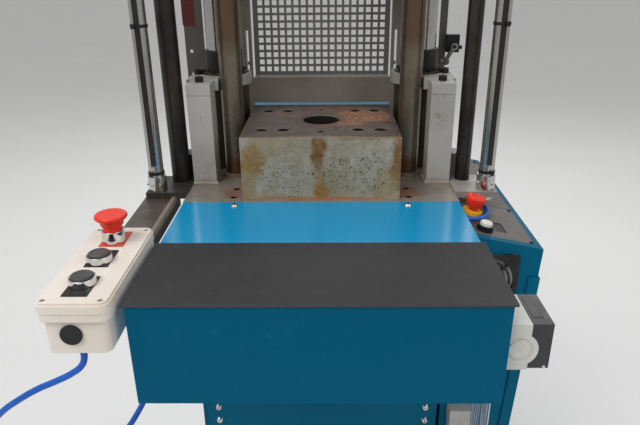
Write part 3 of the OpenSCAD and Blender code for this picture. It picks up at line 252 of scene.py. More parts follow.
box_cable_route = [
    (-275, -400, 944), (-275, -400, 934), (-275, -400, 924), (-275, -400, 914), (-280, -400, 902),
    (-293, -400, 891), (-313, -400, 880), (-338, -400, 868), (-364, -400, 852), (-390, -399, 832),
    (-410, -397, 808), (-421, -394, 778), (-420, -390, 747), (-407, -384, 719), (-384, -376, 699),
    (-356, -366, 691), (-327, -354, 696), (-300, -342, 710), (-277, -328, 730), (-259, -311, 752),
    (-246, -291, 775), (-237, -268, 797), (-233, -243, 815), (-231, -218, 827), (-230, -194, 833),
    (-224, -174, 834), (-212, -161, 834), (-199, -158, 834), (-191, -158, 834), (-183, -158, 834),
]


def strand(name, route, radius):
    """A round lead that runs through the places of its route."""
    line = bpy.data.curves.new(name, "CURVE")
    line.dimensions = "3D"
    line.resolution_u = 6
    line.bevel_depth = radius / 1000
    line.bevel_resolution = 5
    line.use_fill_caps = True
    spline = line.splines.new("BEZIER")
    spline.bezier_points.add(len(route) - 1)
    for point, place in zip(spline.bezier_points, route):
        point.co = mm(*place)
        point.handle_left_type = point.handle_right_type = "AUTO"
    return shown(name, line)


box_lead = strand("control_box_lead", box_cable_route, 4)
box_lead.data.materials.append(blue_jacket.skin)
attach(box_lead, "frame")
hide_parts("box_cable")


# Base cabinet
# A folded and welded sheet steel cabinet, powder coated teal. It carries the platen, and the
# hydraulic tank stands in it. Its seams are pressed, and its edges are a little worn.
def mode(name):
    """Goes into edit or object mode."""
    bpy.ops.object.mode_set(mode=name)


def calm():
    """Leaves edit mode and deselects everything."""
    if bpy.context.object and bpy.context.object.mode != "OBJECT":
        mode("OBJECT")
    bpy.ops.object.select_all(action="DESELECT")


def take(piece):
    """Selects one piece alone, to work on it."""
    calm()
    piece.select_set(True)
    bpy.context.view_layer.objects.active = piece


def worked(piece, kind, **settings):
    """Adds one modifier to the piece and applies it."""
    take(piece)
    tool = piece.modifiers.new(kind.title(), kind)
    for key, value in settings.items():
        setattr(tool, key, value)
    bpy.ops.object.modifier_apply(modifier=tool.name)
    return piece


def smoothed(piece, sharp):
    """Shades the piece smooth but for its real edges."""
    take(piece)
    bpy.ops.object.shade_smooth_by_angle(angle=math.radians(sharp))
    worked(piece, "WEIGHTED_NORMAL", keep_sharp=True)


def fixed(piece, coated, body="frame", sharp=38.0):
    """Smooths the piece, gives it its finish and fixes it to the body that it moves with."""
    smoothed(piece, sharp)
    finish = coated.skin
    piece.data.materials.clear()
    piece.data.materials.append(finish)
    for face in piece.data.polygons:
        face.material_index = 0
    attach(piece, body)


def broken(piece, width, rounds=2, sharp=30.0):
    """Breaks the piece's edges by width millimetres."""
    return worked(piece, "BEVEL", width=width / 1000, segments=rounds, limit_method="ANGLE",
                  angle_limit=math.radians(sharp))


def dressed(node, finish, edge=0.8, rounds=2, sharp=38.0):
    """Stands for a node with its own shape: flat faces joined, edges broken by edge millimetres."""
    source = frame["nodes"][node]
    piece = shown(node + "_piece", source.data.copy())
    take(piece)
    mode("EDIT")
    bpy.ops.mesh.select_mode(type="VERT")
    bpy.ops.mesh.select_all(action="SELECT")
    bpy.ops.mesh.customdata_custom_splitnormals_clear()
    bpy.ops.mesh.remove_doubles(threshold=0.00002)
    bpy.ops.mesh.dissolve_limited(angle_limit=math.radians(0.4))
    mode("OBJECT")
    if edge:
        broken(piece, edge, rounds, sharp)
    fixed(piece, finish, source["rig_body"], sharp)
    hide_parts(node)


teal = on = coat(
    "teal powder coat", "teal_paint", (0, 92, 122), (0, 84, 112), wear=(2.2, 0.6), grain=(520, 30),
    dust=0.0, rough=(0.3, 0.42))
on.shader.inputs["Specular IOR Level"].default_value = 0.06

scuffs, given, made = new_group(
    "scuffs",
    [("Vector", "Vector", None), ("Scale", "Float", 6.0), ("Amount", "Float", 0.5),
     ("Length", "Float", 12.0)],
    [("Mask", "Float")],
)
along = put(scuffs, "CombineXYZ", {0: given["Length"], 1: given["Length"], 2: 1.0}).outputs[0]
lines = []
for turn in ((0.3, 0.9, 0.2), (1.1, 0.2, 0.7)):
    turned = put(scuffs, "Mapping", {"Vector": given["Vector"], "Rotation": turn}).outputs[0]
    hair = cloud(scuffs, vector(scuffs, "MULTIPLY", turned, along), given["Scale"], 2.0, 0.4)
    near = calc(scuffs, "ABSOLUTE", calc(scuffs, "SUBTRACT", hair, 0.5))
    lines.append(ramp(scuffs, near, 0.0, 0.004, 1.0, 0.0))
gate = ramp(scuffs, cloud(scuffs, given["Vector"], 9.0, 3.0, 0.6), 0.5, 0.68)
gated = calc(scuffs, "MULTIPLY", calc(scuffs, "MAXIMUM", *lines), gate)
scuffs.links.new(calc(scuffs, "MULTIPLY", gated, given["Amount"]), made["Mask"])


def paint(on, mask, colour, amount=1.0):
    """Lays a colour in 0 to 255 over the finish, by that amount where mask says."""
    if amount != 1.0:
        mask = calc(on, "MULTIPLY", mask, amount)
    lay(on, "Base Color", mask, tone(*colour))


def scratched(on, colour, scale, amount, length):
    """Lays hairline scratches of that colour over the finish."""
    feeds = {"Vector": on.place, "Scale": scale, "Amount": amount, "Length": length}
    marks = use(on, scuffs, feeds)["Mask"]
    paint(on, marks, colour)
    return marks


worn_lines = scratched(on, (40, 120, 144), scale=5.0, amount=0.12, length=9.0)
lay(on, "Roughness", worn_lines, 0.6)

dressed("base_cabinet", teal, 1.5)
dressed("base_door", teal, 1.0)


def settled(name):
    """Names the piece just made, and takes its place, turn and size into its shape."""
    piece = bpy.context.object
    piece.name = name
    bpy.ops.object.transform_apply(location=True, rotation=True, scale=True)
    return piece


def start_round(name, at, radius, length, sides=32, turn=(0, 0, 0)):
    """A round start, upright unless turned, with its middle at that place in millimetres."""
    calm()
    bpy.ops.mesh.primitive_cylinder_add(
        vertices=sides, radius=radius / 1000, depth=length / 1000, location=mm(*at), rotation=turn)
    return settled(name)


def start_block(name, low, high):
    """A square start between two corners in millimetres."""
    calm()
    low, high = mm(*low), mm(*high)
    bpy.ops.mesh.primitive_cube_add(size=1, location=(low + high) / 2, scale=high - low)
    return settled(name)


def pick(piece, kind, test):
    """Selects the faces or edges whose middle in millimetres and direction pass the test."""
    take(piece)
    mode("EDIT")
    bpy.ops.mesh.select_mode(type=kind)
    bpy.ops.mesh.select_all(action="DESELECT")
    mode("OBJECT")
    mesh = piece.data
    for part in mesh.polygons if kind == "FACE" else mesh.edges:
        if kind == "FACE":
            at, way = part.center, part.normal
        else:
            ends = [mesh.vertices[i].co for i in part.vertices]
            at, way = (ends[0] + ends[1]) / 2, (ends[1] - ends[0]).normalized()
        part.select = bool(test(at * 1000, way))
    mode("EDIT")


def rounded(piece, width, rounds, test):
    """Rounds only the edges that pass the test, by width millimetres."""
    pick(piece, "EDGE", test)
    bpy.ops.mesh.bevel(offset=width / 1000, segments=rounds)
    calm()


def cut(piece, cutter):
    """Takes the cutter's shape out of the piece."""
    worked(piece, "BOOLEAN", object=cutter, operation="DIFFERENCE", solver="EXACT")
    bpy.data.objects.remove(cutter)
    return piece


def closed(piece):
    """Merges the piece's doubles and turns its faces outwards."""
    take(piece)
    mode("EDIT")
    bpy.ops.mesh.select_all(action="SELECT")
    bpy.ops.mesh.remove_doubles(threshold=0.00001)
    bpy.ops.mesh.normals_make_consistent(inside=False)
    mode("OBJECT")
    return piece


def again(piece, *places):
    """Copies of a piece, each with its own mesh, moved by its own matrix. The first piece goes."""
    made = []
    for number, move in enumerate(places):
        copy = shown(f"{piece.name}_{number + 1}", piece.data.copy())
        copy.data.transform(move)
        made.append(copy)
    bpy.data.objects.remove(piece)
    return made


def together(name, parts):
    """Joins like parts to one piece."""
    calm()
    for part in parts:
        part.select_set(True)
    bpy.context.view_layer.objects.active = parts[0]
    bpy.ops.object.join()
    parts[0].name = name
    return closed(parts[0])


def moved(x, y, z, turn=0.0, axis="Z"):
    """A place in millimetres, with a turn in degrees."""
    return Matrix.Translation(mm(x, y, z)) @ Matrix.Rotation(math.radians(turn), 4, axis)


# Lower platen
# A 70 mm plate of bare machined steel, ground on top, that takes the clamping force. Oil and
# fingers have browned it, and reddish rust sits round its tapped holes and collars.
rust_bloom, given, made = new_group(
    "rust bloom",
    [("Vector", "Vector", None), ("Scale", "Float", 20.0), ("Amount", "Float", 0.5)],
    [("Mask", "Float"), ("Color", "Color"), ("Height", "Float")],
)
grown = cloud(rust_bloom, given["Vector"], given["Scale"], 8.0, 0.7)
reach = calc(rust_bloom, "SUBTRACT", 0.72, calc(rust_bloom, "MULTIPLY", given["Amount"], 0.3))
over = calc(rust_bloom, "SUBTRACT", grown, reach)
rust_bloom.links.new(ramp(rust_bloom, over, 0.0, 0.12), made["Mask"])
flakes = cloud(rust_bloom, given["Vector"], 260.0, 5.0, 0.7)
rust_bloom.links.new(
    tint(rust_bloom, ramp(rust_bloom, flakes, 0.35, 0.65), tone(78, 50, 36), tone(150, 92, 58)),
    made["Color"])
rust_bloom.links.new(flakes, made["Height"])

stain, given, made = new_group(
    "stain",
    [("Vector", "Vector", None), ("Centre", "Vector", (0, 0, 0)), ("Reach", "Vector", (0.1, 0.1, 0.1)),
     ("Ragged", "Float", 0.5), ("Scale", "Float", 40.0)],
    [("Mask", "Float")],
)
away = vector(stain, "SUBTRACT", given["Vector"], given["Centre"])
far = vector(stain, "LENGTH", vector(stain, "DIVIDE", away, given["Reach"]), gives="Value")
ragged = calc(stain, "SUBTRACT", cloud(stain, given["Vector"], given["Scale"], 6.0, 0.65), 0.5)
wander = calc(stain, "MULTIPLY", ragged, given["Ragged"])
stain.links.new(ramp(stain, calc(stain, "ADD", far, wander), 0.5, 1.05, 1.0, 0.0), made["Mask"])


def stained(on, at, reach, colour, amount, ragged=0.9, scale=40.0, through=1.0):
    """Lays one stain round a place in millimetres, only where through lets it show."""
    feeds = {"Vector": on.place, "Centre": mm(*at), "Reach": mm(*reach), "Ragged": ragged, "Scale": scale}
    paint(on, calc(on, "MULTIPLY", use(on, stain, feeds)["Mask"], through), colour, amount)


def rusted(on, scale, amount, share):
    """Lays blooming rust over the finish."""
    rust = use(on, rust_bloom, {"Vector": on.place, "Scale": scale, "Amount": amount})
    mask = calc(on, "MULTIPLY", rust["Mask"], share)
    lay(on, "Base Color", mask, rust["Color"])
    lay(on, "Roughness", mask, 0.75)
    lay(on, "Metallic", mask, 0.1)
    emboss(on, calc(on, "MULTIPLY", rust["Height"], mask), 0.00012)


def spot(on, axis):
    """Where a point of the piece lies along an axis, numbered 0 to 2, in metres."""
    return put(on, "SeparateXYZ", {0: on.place}).outputs[axis]


def shaded_holes(on, holes, top):
    """Paints shade into upright holes, given as x, y and radius: their walls go near black a little below
    the top, as painted shade.
    """
    flat = vector(on, "MULTIPLY", on.place, (1, 1, 0))
    deep = ramp(on, spot(on, 2), (top - 0.2) / 1000, (top - 1.6) / 1000)
    for x, y, radius in holes:
        gap = vector(on, "DISTANCE", flat, mm(x, y, 0), "Value")
        inside = calc(on, "MULTIPLY", calc(on, "LESS_THAN", gap, (radius + 0.6) / 1000), deep)
        # Painted shade: the wall of the hole is painted near black and matte.
        paint(on, inside, (26, 20, 17))
        lay(on, "Metallic", inside, 0.0)
        lay(on, "Roughness", inside, 0.8)


platen_steel = on = coat(
    "browned platen steel", "rusty_steel", (148, 140, 132), (112, 98, 90), wear=(11, 0.8), grain=(320, 30),
    rough=(0.36, 0.58), metal=0.4)
rusted(on, 24.0, 0.35, 0.6)
platen_top, bar_x, tap_x = 1000, 145, 135
for side in (-1, 1):
    stained(on, (side * tap_x, -94, platen_top), (22, 30, 12), (158, 92, 70), 0.55, 1.8, 60.0)
    stained(on, (side * bar_x, 0, platen_top + 3), (34, 34, 6), (120, 76, 48), 0.6)
# The walls of the tapped holes are painted near black, as painted shade.
shaded_holes(on, [(x, y, 5.1) for x in (-tap_x, tap_x) for y in (-112, -76)], platen_top)
stained(on, (0, -165, platen_top), (215, 9, 12), (146, 98, 66), 0.7)
scratched(on, (176, 170, 160), scale=9.0, amount=0.6, length=6.0)
dressed("lower_platen", platen_steel, 1.0)

# Mould block
# A steel mould block with ground sides, dowelled and screwed to the platen. Its front is pale and
# water-stained with dark pitting, its top is brown, and its centre bore takes the nozzle.
def noise(on, scale, detail, rough, stretch=None):
    """Noise over the piece."""
    return cloud(on, on.place, scale, detail, rough, stretch)


block_steel = on = coat(
    "stained mould steel", "rusty_steel", (170, 162, 146), (148, 138, 112), wear=(14, 0.8),
    grain=(260, 40), dust=0.0, rough=(0.42, 0.62), metal=0.2)
mottled = ramp(on, noise(on, 95.0, 9.0, 0.78), 0.38, 0.66)
paint(on, mottled, (138, 124, 92), 0.6)
grey_film = ramp(on, noise(on, 60.0, 8.0, 0.75, (1.0, 1.0, 0.4)), 0.5, 0.66)
paint(on, grey_film, (184, 179, 166), 0.6)
runs = noise(on, 26.0, 6.0, 0.7, (1.0, 1.0, 0.12))
paint(on, ramp(on, runs, 0.5, 0.72), (126, 110, 74), 0.35)
front, top = -122, 1098
broken_film = ramp(on, noise(on, 130.0, 9.0, 0.8), 0.3, 0.6)
film_share = calc(on, "MULTIPLY_ADD", broken_film, 0.45, 0.55)
for at, reach, colour, amount in (
    ((-105, front, 1064), (24, 25, 30), (142, 104, 40), 0.85),
    ((-112, front, 1030), (16, 25, 46), (146, 112, 56), 0.6),
    ((-84, front, 1086), (26, 25, 24), (150, 130, 86), 0.5),
    ((-3, front, 1084), (17, 25, 22), (122, 78, 22), 0.95),
    ((-4, front, 1064), (11, 25, 22), (116, 78, 28), 0.8),
    ((-2, front, 1030), (13, 25, 34), (140, 104, 48), 0.5),
    ((2, front, 1010), (14, 25, 24), (146, 104, 40), 0.85),
    ((117, front, 1060), (15, 25, 56), (120, 78, 26), 0.9),
    ((100, front, 1020), (26, 25, 30), (150, 128, 74), 0.6),
    ((-120, 0, 1050), (14, 90, 70), (104, 72, 40), 0.7),
    ((0, front, 1001), (130, 25, 5), (168, 116, 70), 0.8),
    ((70, front, 1097), (70, 25, 4), (140, 110, 66), 0.6),
):
    stained(on, at, reach, colour, amount, ragged=1.7, scale=62.0, through=film_share)
pits = ramp(on, noise(on, 300.0, 6.0, 0.72), 0.55, 0.62)
for at, reach, amount in (
    ((-62, front, 1040), (60, 20, 26), 0.75), ((-50, front, 1022), (30, 20, 14), 0.85),
    ((30, front, 1040), (44, 20, 34), 0.8), ((72, front, 1040), (44, 20, 38), 0.95),
    ((72, front, 1026), (26, 20, 15), 1.0), ((-58, front, 1003), (36, 20, 7), 1.0),
    ((0, front, 1060), (120, 20, 60), 0.35),
):
    stained(on, at, reach, (56, 53, 46), amount, ragged=1.8, scale=52.0, through=pits)
top_mask = ramp(on, facing(on, 2), 0.6, 0.9)
mottle = ramp(on, noise(on, 60.0, 8.0, 0.72), 0.35, 0.68)
lay(on, "Base Color", top_mask, tint(on, mottle, tone(62, 51, 44), tone(96, 81, 71)))
flecks = ramp(on, noise(on, 190.0, 7.0, 0.78), 0.4, 0.56)
for at, reach, colour, amount, flecked in (
    ((70, 8, top), (52, 52, 6), (164, 106, 62), 0.9, 1.0),
    ((30, -40, top), (52, 22, 6), (156, 104, 66), 0.8, 1.0),
    ((20, 60, top), (90, 26, 6), (128, 84, 66), 0.5, 0.5),
    ((-50, 20, top), (40, 30, 6), (112, 72, 64), 0.5, 0.4),
    ((0, -18, top), (46, 46, 6), (52, 41, 35), 0.6, 0.0),
    ((-90, -60, top), (50, 60, 6), (78, 72, 68), 0.6, 0.0),
    ((0, -121, top), (122, 5, 5), (150, 132, 104), 0.6, 0.3),
):
    fleck_share = calc(on, "MULTIPLY_ADD", flecks, flecked, 1 - flecked)
    on_top = calc(on, "MULTIPLY", top_mask, fleck_share)
    stained(on, at, reach, colour, amount, ragged=1.6, scale=46.0, through=on_top)
bore_and_pins = [(0, -18, 29.5), (0, -87, 5.5), (0, 53, 5.5)]
taps = [(x, y, 9.0) for x in (-91, -57.5, 57.5, 91) for y in (-78, 44)]
# The walls of the bore, the pin holes and the tapped holes are painted near black, as painted shade.
shaded_holes(on, bore_and_pins + taps, top)
scratched(on, (196, 190, 176), scale=14.0, amount=0.3, length=4.0)
emboss(on, pits, -0.0001)
dressed("mould_block", block_steel, 1.2)

# Tie bars and lock nuts
# Two ground steel bars that hold the press together, greased and browned where the upper platen
# doesn't wipe them. Round lock nuts of blackened steel hold them under the lower platen.
bar_steel = on = coat(
    "greased bar steel", "rusty_steel", (128, 120, 106), (92, 80, 64), wear=(9, 0.8), grain=(500, 10),
    dust=0.0, rough=(0.26, 0.46), metal=0.8)
film = noise(on, 10.0, 5.0, 0.6, (1.0, 1.0, 0.15))
paint(on, ramp(on, film, 0.45, 0.7), (84, 72, 54), 0.6)
for side in (-1, 1):
    stained(on, (side * bar_x, 0, 1255), (60, 60, 62), (96, 66, 40), 0.65, 0.7, 12.0)
    stained(on, (side * bar_x, 0, platen_top + 10), (60, 60, 30), (98, 60, 34), 0.7, 0.9, 30.0)
dressed("tie_bars", bar_steel, 1.0)

black_oxide = on = coat(
    "blackened steel", "black_paint", (44, 43, 42), (62, 56, 50), wear=(16, 0.6), grain=(700, 20),
    dust=0.15, rough=(0.34, 0.55), metal=0.5)
dressed("tie_bar_nuts", black_oxide, 0.8)

# Pull-down cylinders
# Two hydraulic cylinders with turned barrels in dried brown oil. A black sleeve with a ring of
# small bolts closes each, and a hard chromed rod goes up to the upper platen.
oiled_barrel = on = coat(
    "oiled cylinder barrel", "ground_steel", (92, 80, 62), (58, 46, 34), wear=(12, 0.9), grain=(420, 20),
    dust=0.15, rough=(0.28, 0.5), metal=0.7)
emboss(on, noise(on, 8.0, 3.0, 0.6, (1.0, 1.0, 40.0)), 0.00002)
dressed("cylinder_barrels", oiled_barrel, 1.2)
black_sleeve = on = coat(
    "black sleeve", "black_paint", (34, 33, 33), (52, 47, 42), wear=(14, 0.6), grain=(520, 30), dust=0.25,
    rough=(0.4, 0.6))
dressed("cylinder_heads", black_sleeve, 1.0)
hard_chrome = on = coat(
    "hard chrome", "chrome", (196, 196, 194), (150, 146, 138), wear=(10, 0.5), grain=(700, 6), dust=0.05,
    rough=(0.12, 0.3), metal=1.0)
drawn_lines = noise(on, 30.0, 3.0, 0.6, (12.0, 12.0, 0.5))
lay(on, "Roughness", ramp(on, drawn_lines, 0.45, 0.7, end=0.5), 0.34)
dressed("cylinder_rods", hard_chrome, 0.8)


def socket_screw(radius, height, sides=24):
    """A socket head, standing at the origin, with its edge broken and its hexagon cut."""
    screw = start_round("socket_screw", (0, 0, height / 2), radius, height, sides)
    rounded(screw, radius * 0.14, 2, lambda at, way: at.z > height - 0.01)
    hexagon = start_round("hexagon", (0, 0, height), radius * 0.5, height * 1.1, 6)
    return cut(screw, hexagon)


def ring(x, y, z, radius, count, first=0.0):
    """Places at equal steps round an upright axis, the first at that turn in degrees."""
    turns = [math.radians(360 / count * k + first) for k in range(count)]
    return [moved(x + radius * math.cos(turn), y + radius * math.sin(turn), z) for turn in turns]


def screwed(name, screw, places, finish, body="frame"):
    """Sets a copy of the screw at each place, as one piece."""
    fixed(together(name, again(screw, *places)), finish, body)


cylinder_x, cylinder_y, sleeve_top = 165, 62, 1165
ring_places = [
    place for x in (-cylinder_x, cylinder_x)
    for place in ring(x, cylinder_y, sleeve_top, radius=35.8, count=8, first=22.5)
]
screwed("sleeve_bolts", socket_screw(2.7, 3.2, 16), ring_places, black_oxide)

# Support posts and clamp plates
# Square posts of light grey painted steel, welded to feet on the platen. A grey plate on each,
# held by black socket screws, clamps the cylinder beside it. The welds are hand-laid and lumpy.
grey_paint = on = coat(
    "light grey paint", "grey_paint", (172, 170, 165), (140, 136, 128), wear=(9, 0.55), grain=(360, 50),
    dust=0.12, rough=(0.38, 0.55))
scratched(on, (98, 92, 84), scale=8.0, amount=0.8, length=7.0)
chips = ramp(on, noise(on, 70.0, 6.0, 0.75), 0.665, 0.68)
paint(on, chips, (92, 78, 66), 0.8)
for side in (-1, 1):
    stained(on, (side * 190, -29, 1000), (40, 40, 12), (132, 118, 100), 0.6)
dressed("support_posts", grey_paint, 1.2)
dressed("clamp_plates", grey_paint, 1.0)
dressed("clamp_bolts", black_oxide, 0.5)

lumps = bpy.data.textures.new("lumps", "CLOUDS")
lumps.noise_scale = 0.005
beads = []
for low_x, high_x in ((-210, -168.6), (168.6, 210)):
    bead = start_block("bead", (low_x, -51.4, 999.9), (high_x, -6.6, 1002.6))
    pick(bead, "EDGE", lambda at, way: at.z > 1002.5)
    bpy.ops.mesh.bevel(offset=0.0022, segments=3)
    bpy.ops.mesh.select_all(action="SELECT")
    bpy.ops.mesh.subdivide(number_cuts=14)
    beads.append(worked(bead, "DISPLACE", texture=lumps, strength=0.0012, mid_level=0.5))
fixed(together("post_welds", beads), grey_paint, sharp=60)

# Front covers
# Folded 2 mm sheet, powder coated teal: a tray-shaped top cover in front of the platen, and a lower
# cover under it that closes the base. Bright button screws hold both.
# Painted highlight: the top cover's base colour is a light blue that stands in for the sheen of light on
# it, and only its front faces keep the darker teal of the paint itself.
teal_with_painted_sheen = on = coat(
    "teal powder coat with painted sheen", "teal_paint", (8, 142, 190), (4, 128, 174), wear=(2.6, 0.5),
    grain=(620, 20), dust=0.03, rough=(0.2, 0.3))
on.shader.inputs["Coat Weight"].default_value = 0.3
on.shader.inputs["Coat Roughness"].default_value = 0.14
smears = noise(on, 9.0, 4.0, 0.6, (1.0, 0.25, 1.0))
lay(on, "Roughness", ramp(on, smears, 0.5, 0.7, end=0.6), 0.36)
# The front faces are painted the darker teal, so the light blue painted sheen stays on the other faces.
front_without_painted_sheen = ramp(on, facing(on, 1), -0.5, -0.9)
paint(on, front_without_painted_sheen, (0, 86, 116))
lay(on, "Coat Weight", front_without_painted_sheen, 0.0)
lay(on, "Specular IOR Level", front_without_painted_sheen, 0.05)
scratched(on, (70, 160, 190), scale=6.0, amount=0.12, length=8.0)
dressed("top_cover", teal_with_painted_sheen, 0.7)
dressed("lower_front_cover", teal, 1.0)
bright_zinc = on = coat(
    "bright zinc", "ground_steel", (205, 205, 202), (150, 146, 138), wear=(30, 0.5), grain=(900, 10),
    rough=(0.16, 0.36), metal=1.0)
dressed("cover_screws", bright_zinc, 0.35)

# Rubber mat
# A loose 3 mm sheet of black ribbed rubber on the top cover. Its fine ribs run from side to side,
# dust sits between them, and its front edge stands a little over the fold.
mat_low, mat_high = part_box("rubber_mat")
rib_rows = 166
rib_height, mat_sheet, mat_overlap = 0.0004, 0.0025, 0.004
calm()
bpy.ops.mesh.primitive_grid_add(
    x_subdivisions=12, y_subdivisions=rib_rows, size=1,
    location=((mat_low.x + mat_high.x) / 2, (mat_low.y + mat_high.y) / 2, mat_low.z + 0.0026))
bpy.context.object.scale = (mat_high.x - mat_low.x + mat_overlap, mat_high.y - mat_low.y, 1)
mat = worked(settled("ribbed_mat"), "SOLIDIFY", thickness=mat_sheet, offset=-1.0)
rib = (mat_high.y - mat_low.y) * 1000 / rib_rows
pick(mat, "FACE", lambda at, way: way.z > 0.9 and int((at.y - mat_low.y * 1000) / rib) % 2 == 0)
bpy.ops.mesh.extrude_region_move(TRANSFORM_OT_translate={"value": (0, 0, rib_height)})
closed(mat)
rubber = on = coat(
    "ribbed rubber", "rubber_mat", (62, 61, 63), (74, 73, 74), wear=(5, 0.7), grain=(500, 30), dust=0.05,
    rough=(0.46, 0.62))
worn = noise(on, 14.0, 6.0, 0.65, (0.25, 1.0, 1.0))
paint(on, ramp(on, worn, 0.5, 0.75), (84, 83, 84), 0.3)
specks = ramp(on, noise(on, 150.0, 2.0, 0.5), 0.79, 0.81)
paint(on, specks, (150, 148, 142))
fixed(mat, rubber, sharp=30)
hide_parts("rubber_mat")

# Guard behind the cylinders
# Two flat steel uprights and a cross beam in grey paint carry a sheet of perforated steel with square
# holes, held by small bolts. A teal cover of folded sheet lies behind it over the tank.
guard_paint = on = coat(
    "dusty grey paint", "grey_paint", (150, 143, 134), (120, 110, 98), wear=(8, 0.7), grain=(420, 40),
    dust=0.2, rough=(0.45, 0.6))
dressed("rear_guard_frame", guard_paint, 0.8)
sheet_steel = on = coat(
    "perforated sheet steel", "ground_steel", (140, 139, 136), (112, 108, 102), wear=(7, 0.6),
    grain=(480, 20), rough=(0.42, 0.6), metal=0.35)
dressed("perforated_guard", sheet_steel, 0)
bolt_places = [moved(x, 162, z, 90, "X") for x in (-133, 133) for z in (1160, 1255, 1350, 1420)]
screwed("guard_bolts", socket_screw(4.0, 2.6), bolt_places, bright_zinc)
dressed("rear_cover", teal, 1.0)

# Arms, guide bars and light curtain
# A steel arm at each side carries a dark oiled guide bar and a light curtain in a bright tube with
# a clear strip. A plated clamp fitting holds each tube, two black cable ties go round it, and a
# blue lead leaves it below.
arm_paint = on = coat(
    "arm paint", "grey_paint", (150, 147, 142), (104, 98, 90), wear=(12, 0.7), grain=(380, 40), dust=0.2,
    rough=(0.42, 0.6))
left_arm = ramp(on, spot(on, 0), -0.19, -0.21)
paint(on, left_arm, (52, 48, 44))
dressed("side_arms", arm_paint, 0.8)
oiled_bar = on = coat(
    "oiled dark bar", "black_paint", (74, 70, 66), (42, 38, 35), wear=(14, 0.9), grain=(420, 30),
    rough=(0.24, 0.48), metal=0.75)
streaks = noise(on, 20.0, 5.0, 0.6, (1.0, 1.0, 0.1))
paint(on, ramp(on, streaks, 0.45, 0.7), (34, 31, 29), 0.6)
rusted(on, 30.0, 0.2, 0.5)
dressed("guide_bars", oiled_bar, 0.8)
bright_tube = on = coat(
    "bright tube", "chrome", (186, 184, 178), (150, 146, 138), wear=(8, 0.5), grain=(800, 10), dust=0.05,
    rough=(0.2, 0.36), metal=1.0)
brushed = noise(on, 50.0, 4.0, 0.6, (10.0, 10.0, 0.4))
lay(on, "Roughness", ramp(on, brushed, 0.4, 0.7, end=0.5), 0.42)
dressed("curtain_tubes", bright_tube, 0.4)
dressed("tube_fittings", bright_zinc, 0.6)

clear_strip = on = coat(
    "clear dark strip", "black_plastic", (40, 34, 34), (54, 48, 46), wear=(9, 0.5), grain=(500, 10),
    dust=0.05, rough=(0.12, 0.3))
tube_x, tube_y = 260, -80
strips = []
for side in (-1, 1):
    strip = start_block("strip", (side * tube_x - 3.8, -90.6, 1043), (side * tube_x + 3.8, -88.9, 1418))
    strips.append(broken(strip, 0.5))
fixed(together("curtain_windows", strips), clear_strip)

hex_nuts = []
for side in (-1, 1):
    nut = start_round("nut", (side * tube_x, tube_y, 988), 12.5, 7, 6)
    rounded(nut, 1, 2, lambda at, way: abs(way.z) < 0.1)
    cut(nut, start_round("bore", (side * tube_x, tube_y, 988), 8.3, 10, 24))
    hex_nuts.append(nut)
    for turn in (200, 250, 300):
        angle = math.radians(turn)
        at = moved(side * tube_x + 14.0 * math.cos(angle), tube_y + 14.0 * math.sin(angle), 1013, turn)
        hex_nuts += again(socket_screw(2.6, 2.4, 16), at @ Matrix.Rotation(math.radians(90), 4, "Y"))
fixed(together("fitting_nuts", hex_nuts), bright_zinc)

black_plastic = on = coat(
    "black moulded plastic", "black_plastic", (30, 30, 32), (52, 51, 50), wear=(20, 0.4), grain=(650, 40),
    dust=0.25, rough=(0.38, 0.55))
ties = []
for side in (-1, 1):
    for z in (1031, 1253):
        calm()
        bpy.ops.mesh.primitive_cylinder_add(
            vertices=40, radius=0.0127, depth=0.0046, end_fill_type="NOTHING",
            location=mm(side * tube_x, tube_y, z))
        tie = worked(settled("tie"), "SOLIDIFY", thickness=0.0012, offset=-1.0)
        broken(tie, 0.3)
        ties.append(tie)
        out = Vector((side * 0.4, -1, 0)).normalized() * 13.6
        at = (side * tube_x + out.x, tube_y + out.y, z)
        lock = start_block("lock", (at[0] - 3, at[1] - 2.4, z - 3.4), (at[0] + 3, at[1] + 2, z + 3.4))
        ties.append(broken(lock, 0.7))
fixed(together("cable_ties", ties), black_plastic)

leads = [
    strand("lead", route, 3.5) for route in (
        [(tube_x, tube_y, 983.7), (260, -81, 980), (258, -92, 978.5), (257, -112, 978.5), (253, -132, 979),
         (244, -148, 981), (233, -159, 983.5), (221, -167, 986.5), (208, -175, 989), (196, -182, 990.5),
         (184, -186, 989), (176, -185, 983), (171, -181, 974), (168, -174, 968), (168, -165, 967)],
        [(-tube_x, tube_y, 983.7), (-260, -82, 977), (-260, -94, 972), (-260, -130, 971), (-260, -200, 971),
         (-260, -259.75, 971)],
    )
]
for lead in leads:
    take(lead)
    bpy.ops.object.convert(target="MESH")
curtain_leads = together("curtain_leads", leads)
fixed(curtain_leads, blue_jacket, sharp=60)
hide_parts("curtain_cables")

# Limit switch and its rails
# Flat steel rails behind the bars carry a small black limit switch with a sprung roller lever, and a
# dark cam plate stands at the left.
rail_paint = on = coat(
    "dark rail paint", "grey_paint", (92, 88, 84), (66, 58, 52), wear=(10, 0.7), grain=(420, 40), dust=0.2,
    rough=(0.42, 0.6), metal=0.3)
cam_bottom, cam_right = 1.234, -0.2162
high = ramp(on, spot(on, 2), cam_bottom - 0.0005, cam_bottom + 0.0005)
beside = ramp(on, spot(on, 0), cam_right + 0.0002, cam_right - 0.0003)
paint(on, calc(on, "MULTIPLY", high, beside), (88, 44, 40))
dressed("switch_rails", rail_paint, 0.6)
dressed("limit_switch", black_plastic, 0.8)
dressed("switch_lever", bright_zinc, 0.4)

